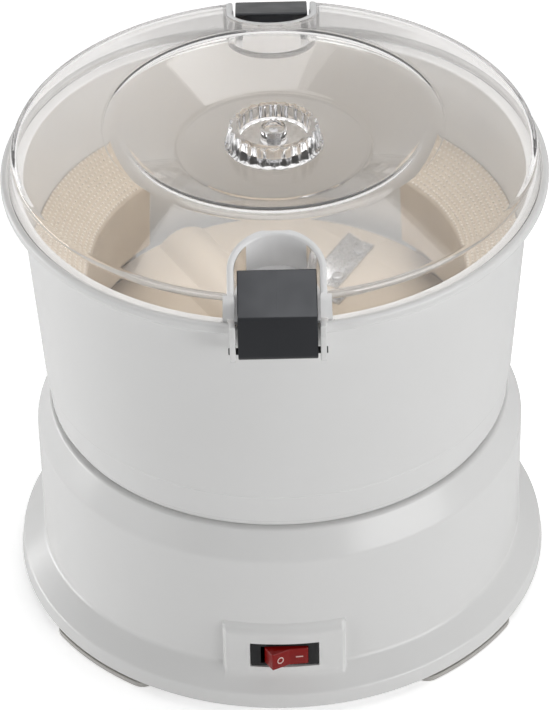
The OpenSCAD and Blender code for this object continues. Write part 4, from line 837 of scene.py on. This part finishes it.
def bowl():
    dome_r, dome_in, hub_r, hub_bore_r = 17.08, 14.58, 10.05, 7.05
    z_dome, z_hub, z_dome_in, z_under_floor = z_floor + 9.5, z_floor + 22.5, z_floor + 6.5, z_floor - 3
    ring_in = band_top_r - 5.5  # inner side of the foot ring
    outline = rounded([
        (band_top_r - 3, z_bowl, 0.3), (band_top_r - 3, z_foot_band, 0.3), (foot_band_r, z_foot_band, 0.9),
        (band_top_r, z_band, 0.5), (band_top_r + 0.7, z_band + 0.7, 0.8), (bowl_top_r, z_under_lip, 3.0),
        (lip_r, z_under_lip, 1.9), (lip_r, z_lip, 1.9), (seat_r, z_lip, 0.7), (seat_r, z_seat, 0.3),
        (bowl_top_r - wall, z_seat, 0.7), (bowl_top_r - wall, z_under_lip - 3, 0),
        (band_top_r - wall, z_band + 0.7, 0), (band_top_r - wall, z_floor, 4), (dome_r, z_floor, 2),
        (dome_r, z_dome, 2), (hub_r, z_dome, 0.6), (hub_r, z_hub, 0.6), (hub_bore_r, z_hub, 0.2),
        (hub_bore_r, z_dome_in, 0), (dome_in, z_dome_in, 0), (dome_in, z_under_floor, 0),
        (ring_in, z_under_floor, 0), (ring_in, z_bowl, 0.3)])
    piece = turned("bowl_shell", outline, finishes["white_shell"], 224)
    cuts = [block("cut", (bowl_top_r + 1.5, -ear_in, z_pin - 9), (lip_r + 8, ear_in, z_lip + 4), way)
            for way in (FRONT, BACK)]
    cuts += [block("notch", (key_r - 3, -key_half - 0.5, z_bowl - 2),
                   (key_r + 3, key_half + 0.5, z_bowl + notch_high), facing(turn)) for turn in key_turns]
    joined(piece, cuts, "DIFFERENCE")
    joined(piece, ears(FRONT) + ears(BACK), "UNION")
    bores = [rod("bore", pin_hole_r, ear_in + ear_t + 1, way @ moved(pin_r, 0, z_pin), 32)
             for way in (FRONT, BACK)]
    joined(piece, bores, "DIFFERENCE")
    smooth(piece)
    dress(piece, "white_shell", "bowl")


def panels():
    front_r, leg_r, bend_r = disc_r + 1.5, band_top_r - wall - 0.3 - 4, 108.4
    nose_r = panel_top_r - panel_reach
    nose_z = z_panel_top - panel_reach * math.tan(panel_slope)
    outline = rounded([
        (front_r, z_floor, 0.4), (leg_r, z_floor, 0.4), (bend_r, z_panel_low - 4, 1.5),
        (panel_top_r, z_panel_top, 0.6), (nose_r, nose_z, 3.2), (nose_r + 2, z_panel_low, 1.5),
        (front_r, z_panel_low, 1.0)])
    for node, turn in (("right_panel", 0), ("left_panel", 180)):
        piece = sector(node + "_body", outline, turn - 45, turn + 45, 72)
        smooth(piece)
        dress(piece, "panel_plastic", node)
        start = bpy.data.meshes.new("studs")
        start.from_pydata([(0, 0, 0)], [], [])
        studs = grown(node + "_studs", start, STUDDED, {
            "Columns": 58, "Rows": 11, "Sweep": math.radians(86), "Turn": math.radians(turn),
            "Top Radius": (panel_top_r - 1.2) * MM, "Top Height": (z_panel_top - 0.8) * MM,
            "Length": 27.0 * MM, "Slope": panel_slope, "Stud Radius": 0.75 * MM, "Stud Height": 0.6},
            finishes["stud_tips"])
        smooth(studs, 80)
        dress(studs, "panel_plastic", body="bowl", finish="stud_tips")


# -------- lid and knob

ring_arc_r = ring_half * ring_half / 2 / ring_high + ring_high / 2
ring_arc_a = math.degrees(math.asin(ring_half / ring_arc_r))


def lid_height(r):
    """Height of the lid's upper surface at a radius."""
    if r < knob_r:
        return z_middle
    if r < dish_r:
        return z_middle + (z_dish - z_middle) * (r - knob_r) / (dish_r - knob_r)
    if r < ring_r - ring_half:
        return z_dish + (z_ring - z_dish) * (r - dish_r) / (ring_r - ring_half - dish_r)
    if r < ring_r + ring_half:
        return z_ring + ring_high - ring_arc_r + math.sqrt(ring_arc_r ** 2 - (r - ring_r) ** 2)
    return z_ring - (r - ring_r - ring_half) * math.tan(lid_slope)


def surface(x, y):
    """Height of the lid's upper surface at a place, and past its edge the height at the edge."""
    return lid_height(min(math.hypot(x, y), lid_r - 0.2))


def pocket_floor(x):
    """Height of a pocket's floor. It falls from the round end to the skirt."""
    return z_pocket - (x - pocket_apex) * math.tan(pocket_fall)


def crown_arc(radius, start, end, steps):
    """Corners along the raised ring's arc, with soft ends."""
    points = arc((ring_r, z_ring + ring_high - ring_arc_r), radius, start, end, steps)
    return [(x, z, 0.8 if place in (0, steps) else 0) for place, (x, z) in enumerate(points)]


def column(name, half, flare):
    """U-shaped column along +X, whose round end is the pocket's. flare lists (offset outwards,
    height over the lid). A height of None stands for the skirt's lower edge."""
    far, straight = lid_r + 14, 12
    rings = []
    for offset, lift in flare:
        h = half + offset
        path = [(far + (pocket_c - far) * i / straight, h) for i in range(straight)]
        path += arc((pocket_c, 0), h, 90, 270, 40)
        path += [(pocket_c + (far - pocket_c) * i / straight, -h) for i in range(1, straight + 1)]
        rings.append([(x, y, z_skirt if lift is None else surface(x, y) + lift) for x, y in path])
    return lofted(name, rings)


def painted_highlight_face(piece, face):
    """Whether a face of the lid lies on a rim, a leg, the round end or the floor of a pocket. Such faces get
    a painted highlight: a mostly white diffuse finish in place of the light that the clear plastic reflects
    and carries there.
    """
    corners = [piece.data.vertices[i].co / MM for i in face.vertices]
    offs = [abs(c.x) if abs(c.y) > pocket_c else math.hypot(c.x, pocket_c - abs(c.y)) for c in corners]
    beside = all(pocket_in - 0.1 < off < pocket_out + 0.3 for off in offs)
    rim = beside and abs(face.normal.z) > 0.3 and all(c.z > lid_height(c.xy.length) - 0.7 for c in corners)
    leg = beside and all(abs(c.y) > pocket_c - 0.1 for c in corners)
    apex_half = 13.2
    apex = all(abs(off - pocket_in) < 0.1 and abs(c.x) < apex_half and abs(c.y) < pocket_c
               for off, c in zip(offs, corners))
    bed = face.normal.z > 0.9 and all(
        off < pocket_in + 0.1 and c.z < z_pocket + 0.2 and abs(c.y) > pocket_apex
        for off, c in zip(offs, corners))
    centre = face.center / MM
    end = (pocket_in - 0.3 < abs(centre.x) < pocket_out + 0.6 and abs(centre.y) > pocket_c
           and centre.xy.length > lid_r - 1.2)
    return rim or leg or apex or bed or end


def pocket_wall(way):
    """Outer wall of a pocket. It ends at the skirt."""
    inside = rounded([(30, z_skirt, 0), (lid_r - 1, z_skirt, 0), (lid_r - 0.4, z_edge, 2),
                      (lid_r - 3, z_edge + 3, 0), (30, z_ring + 9, 0)])
    piece = column("pocket_wall", pocket_out, [(0, None), (0, rim_high + 0.3)])
    joined(piece, [turned("core", inside, finishes["clear_plastic"], 96)], "INTERSECT")
    piece.data.transform(way)
    return piece


def pocket_hollow(way):
    """Hollow of a pocket with a rounded rim. Its lowest ring follows the pocket's floor."""
    piece = column("pocket_hollow", pocket_in, [
        (0, 0.0), (0, -1.1), (0.07, -0.62), (0.27, -0.16), (0.6, 0.2), (1.0, 0.42), (1.5, rim_high),
        (1.9, 0.47), (2.35, 0.28), (2.75, 0.02), (3.4, 0.1), (3.4, 14)])
    for v in piece.data.vertices:
        x, y, z = v.co / MM
        if abs(z - surface(x, y)) < 1e-3 and abs(math.hypot(max(pocket_c - x, 0), y) - pocket_in) < 0.02:
            v.co.z = pocket_floor(x) * MM
    piece.data.transform(way)
    return piece


def pocket_undersides(way):
    """What is cut away under a pocket's floor and at the lower ends of its legs."""
    floor_t, leg_lift, leg_half = 2.4, 3.2, (pocket_out - pocket_in) / 2
    near, far = pocket_apex - 5, lid_r - lid_t
    below = [(near, pocket_floor(near) - floor_t), (far, pocket_floor(far) - floor_t),
             (far, z_skirt - 3), (near, z_skirt - 3)]
    cuts = [extruded("under", below, pocket_out + 3, way)]
    for sign in (-1, 1):
        middle = sign * (pocket_in + pocket_out + 0.4) / 2
        cuts.append(block("slot", (pocket_c, middle - leg_half, z_skirt - 1),
                          (skirt_r + 1, middle + leg_half, z_skirt + leg_lift), way))
    return cuts


def pocket_catch(way):
    """Bar across a pocket's floor, under the clip's tongue."""
    middle, deep, half = clip_in + 1.5, 1.2, 11
    catch = block("catch", (middle - deep, -half, pocket_floor(middle) - 1.2),
                  (middle + deep, half, z_tongue - 0.3))
    bevelled(catch, 0.4)
    catch.data.transform(way)
    return catch


def lid():
    screw_hole_r = 2.1
    crown = crown_arc(ring_arc_r, 90 + ring_arc_a, 90 - ring_arc_a, 12)
    under_crown = crown_arc(ring_arc_r - lid_t, 90 - ring_arc_a, 90 + ring_arc_a, 8)
    outline = rounded([(screw_hole_r, z_middle, 0), (knob_r, z_middle, 2.5), (dish_r, z_dish, 5)] + crown + [
        (lid_r - 0.25, lid_height(lid_r - 0.25), 2.4), (skirt_r, z_skirt, 0.5),
        (skirt_r - lid_t, z_skirt, 0.5), (lid_r - lid_t, z_edge - 3.2, 1.6)] + under_crown + [
        (dish_r, z_dish - lid_t, 4), (knob_r, z_middle - lid_t, 2.5), (screw_hole_r, z_middle - lid_t, 0)],
        guard=0.25)
    piece = turned("lid_shell", outline, finishes["clear_plastic"], 224)
    joined(piece, [pocket_wall(FRONT), pocket_wall(BACK)], "UNION")
    joined(piece, [pocket_hollow(FRONT), pocket_hollow(BACK)], "DIFFERENCE")
    joined(piece, pocket_undersides(FRONT) + pocket_undersides(BACK), "DIFFERENCE")
    joined(piece, [pocket_catch(FRONT), pocket_catch(BACK)], "UNION")
    tidy(piece.data, 3e-6, close=True)
    smooth(piece)
    dress(piece, "clear_plastic", "lid")
    # the pockets' rims, legs, round ends and floors take the painted highlight finish
    piece.data.materials.append(finishes["clear_painted_highlight"])
    for face in piece.data.polygons:
        if painted_highlight_face(piece, face):
            face.material_index = 1


def knob():
    flutes = 24
    flute_r, top_r = knob_r - 0.4, knob_r * 0.9
    inner_r, boss_r = top_r - 3.8, 6.0
    base, high, floor_z, boss_z = z_middle + 0.06, z_knob_top, z_middle + 2, z_middle + 8.5
    lean = (flute_r - top_r) / (high - z_middle)
    side_low, side_run = base + 1.1, high - 0.9 - base - 1.1

    def side(z):
        return flute_r - lean * (z - z_middle)

    # (outwards, flute share, up)
    body = [(0, 0, base), (knob_r - 0.5, 0, base), (knob_r - 0.15, 0, base + 0.08), (knob_r, 0, base + 0.3),
            (knob_r - 0.05, 0.15, base + 0.6), (knob_r - 0.2, 0.6, base + 0.8)]
    for k in range(8):
        z = side_low + k * side_run / 7
        body.append((side(z), 1.0, z))
    # the rim, where the flutes run out
    edge = side(high)
    body += [(edge - 0.1, 0.95, high - 0.5), (edge - 0.35, 0.85, high - 0.2), (edge - 0.8, 0.6, high - 0.03),
             (edge - 1.4, 0.3, high), (edge - 2.2, 0, high), (inner_r + 0.55, 0, high - 0.02),
             (inner_r + 0.25, 0, high - 0.15), (inner_r + 0.05, 0, high - 0.5), (inner_r, 0, high - 0.9)]
    # the cup's inside and its floor
    body += [(inner_r - 0.4, 0, (high + floor_z) / 2), (inner_r - 0.8, 0, floor_z + 0.5),
             (inner_r - 0.87, 0, floor_z + 0.2), (inner_r - 1.0, 0, floor_z + 0.06),
             (inner_r - 1.25, 0, floor_z), (boss_r + 0.9, 0, floor_z), (boss_r + 0.3, 0, floor_z + 0.2)]
    # the boss of the screw
    body += [(boss_r, 0, floor_z + 0.8), (boss_r, 0, boss_z - 0.6), (boss_r - 0.15, 0, boss_z - 0.2),
             (boss_r - 0.5, 0, boss_z), (boss_r - 1.0, 0, boss_z), (boss_r - 1.3, 0, boss_z - 0.15),
             (boss_r - 1.5, 0, boss_z - 0.6), (boss_r - 1.7, 0, boss_z - 1.2),
             (boss_r - 2.2, 0, boss_z - 1.4), (0, 0, boss_z - 1.4)]
    start = bpy.data.meshes.new("knob_outline")
    start.from_pydata([(x * MM, share, z * MM) for x, share, z in body], [], [])
    piece = grown("knob_cup", start, FLUTED, {
        "Flutes": flutes, "Flute Depth": 1.2 * MM, "Columns": flutes * 20 + 1, "Points": len(body)},
        finishes["clear_plastic"])
    smooth(piece, 40)
    dress(piece, "clear_plastic", "knob")


# -------- clips

def clips():
    """Front and back clip: knuckle, outer leg, sloping top, and a tongue that reaches into the
    lid's pocket."""
    outer_r = pin_r + knuckle_r
    fold_r = outer_r - 2.4
    slope = math.tan(math.radians(19.5))
    z_top = z_fold + (fold_r - clip_in) * slope
    t = 3.0  # thickness of the clip
    meet = math.degrees(math.acos((knuckle_r - t) / knuckle_r))
    z_meet = z_pin + knuckle_r * math.sin(math.radians(meet))
    shape = [(outer_r, z_pin, 0), (fold_r, z_fold, 1.3), (clip_in, z_top, 1.0), (clip_in, z_tongue, 0.6),
             (clip_in + t, z_tongue, 0.6), (clip_in + t, z_top - t * slope - t, 0.8),
             (fold_r - t, z_fold - t, 1.0), (outer_r - t, z_meet, 0)]
    shape += [(x, z, 0) for x, z in arc((pin_r, z_pin), knuckle_r, meet, 360, 22)[1:-1]]
    for node, way in (("front_clip", FRONT), ("back_clip", BACK)):
        clip = extruded(node + "_body", rounded(shape, guard=0.2), clip_half)
        bevelled(clip, 0.5, angle=50)
        joined(clip, [rod("bore", 1.55, clip_half + 1, moved(pin_r, 0, z_pin), 32)], "DIFFERENCE")
        clip.data.transform(way)
        smooth(clip)
        dress(clip, "clip_plastic", node)


housing()
feet()
bezel()
rocker()
rocker_marks()
bowl()
panels()
lid()
knob()
clips()

# small pieces: merged copies with their edges eased
for node, width in (("bottom_cover", 0.4), ("cord_gland", 0.5), ("clip_pins", 0.25), ("peeling_disc", 0.5),
                    ("disc_nut", 0.4), ("disc_blades", 0.1), ("blade_rivets", 0.25), ("drive_socket", 0.4),
                    ("drive_dog", 0.3), ("cover_screws", 0.25)):
    piece = copy_of(node)
    bevelled(piece, width, 2, 40)
    smooth(piece, 35)
    dress(piece, slot_of[node], node)

for node, piece in frame["nodes"].items():
    if piece.hide_render:
        continue
    finish = finishes[slot_of[node]]
    if not piece.material_slots:
        piece.data.materials.append(finish)
    for place in piece.material_slots:
        place.material = finish


# -------- room, lamps and camera

def seen_share(tree, glossy):
    """Value that is 1 for what the camera sees, straight or through clear plastic, and a lower
    share for what gloss mirrors."""
    path = add_node(tree, "ShaderNodeLightPath")
    mirrored = add_math(tree, "MULTIPLY", path.outputs["Is Glossy Ray"], glossy)
    seen = add_math(tree, "MAXIMUM", path.outputs["Is Camera Ray"], path.outputs["Is Transmission Ray"])
    return add_math(tree, "MAXIMUM", seen, mirrored)


def floor():
    half = 6000
    piece = piece_from("floor", [(-half, -half, 0), (half, -half, 0), (half, half, 0), (-half, half, 0)],
                       [(0, 1, 2, 3)])
    made = Finish("pale_floor", (0.92, 0.92, 0.92), 0.9, gloss=0.1)
    # the sheet turns to plain white away from the object
    reach = made.add("ShaderNodeVectorMath", {"operation": "LENGTH"}, _0=made.place)
    rise = made.ranged(reach.outputs["Value"], 0.56, 1.0, 0.25, 2.5)
    strength = add_math(made.tree, "MULTIPLY", seen_share(made.tree, 0.25), rise)
    glow = made.add("ShaderNodeEmission", Strength=strength)
    both = made.add("ShaderNodeAddShader", _0=made.shader.outputs[0], _1=glow.outputs[0])
    made.tree.links.new(both.outputs[0], made.out.inputs["Surface"])
    piece.data.materials.append(made.material)


def world():
    room = bpy.data.worlds.new("studio")
    scene.world = room
    room.use_nodes = True
    tree = room.node_tree
    tree.nodes.clear()
    strength = add_node(tree, "ShaderNodeMapRange", Value=seen_share(tree, 0.7), To_Min=0.1, To_Max=1.0)
    light = add_node(tree, "ShaderNodeBackground", Color=(1, 1, 1, 1), Strength=strength.outputs[0])
    add_node(tree, "ShaderNodeOutputWorld", Surface=light.outputs[0])


def softbox(name, place, aim, wide, high, watts, shape="RECTANGLE", glossy=True):
    """An area lamp that faces the object's axis at the height aim. One that isn't glossy leaves no
    mirror image in the shell."""
    lamp = bpy.data.lights.new(name, "AREA")
    lamp.shape = shape
    lamp.size, lamp.size_y = wide, high
    lamp.energy = watts
    holder = bpy.data.objects.new(name, lamp)
    scene.collection.objects.link(holder)
    holder.visible_glossy = glossy
    holder.location = place
    holder.rotation_euler = (Vector((0, 0, aim)) - Vector(place)).to_track_quat("-Z", "Y").to_euler()


def camera():
    pitch, yaw, roll = math.radians(37.62), math.radians(-0.07), math.radians(-1.25)
    look = Vector((math.sin(yaw) * math.cos(pitch), math.cos(yaw) * math.cos(pitch), -math.sin(pitch)))
    level = Vector((math.cos(yaw), -math.sin(yaw), 0))
    above = level.cross(look)
    right = math.cos(roll) * level + math.sin(roll) * above
    up = -math.sin(roll) * level + math.cos(roll) * above
    sensor, focal, picture_high = 36, 3500, 710  # millimetres, pixels, pixels
    lens = bpy.data.cameras.new("camera")
    lens.sensor_width = sensor
    lens.lens = focal / picture_high * sensor
    lens.clip_start, lens.clip_end = 0.05, 50
    holder = bpy.data.objects.new("camera", lens)
    scene.collection.objects.link(holder)
    turn = Matrix((right, up, -look)).transposed().to_4x4()
    holder.matrix_world = Matrix.Translation((0, -1.317, 1.128)) @ turn
    scene.camera = holder


camera()
floor()
world()
softbox("left_softbox", (-1.5, 0.45, 0.2), aim=0.14, wide=1.1, high=0.36, watts=8.5)
softbox("left_front_softbox", (-1.4, -0.8, 0.22), aim=0.14, wide=1.0, high=0.4, watts=7.2, glossy=False)
softbox("right_softbox", (1.25, -1.0, 0.46), aim=0.12, wide=1.3, high=0.8, watts=13.2)
softbox("overhead_softbox", (0.25, 0.38, 1.95), aim=0.2, wide=2.0, high=1.3, watts=15, shape="ELLIPSE")

scene.view_settings.view_transform = "Standard"
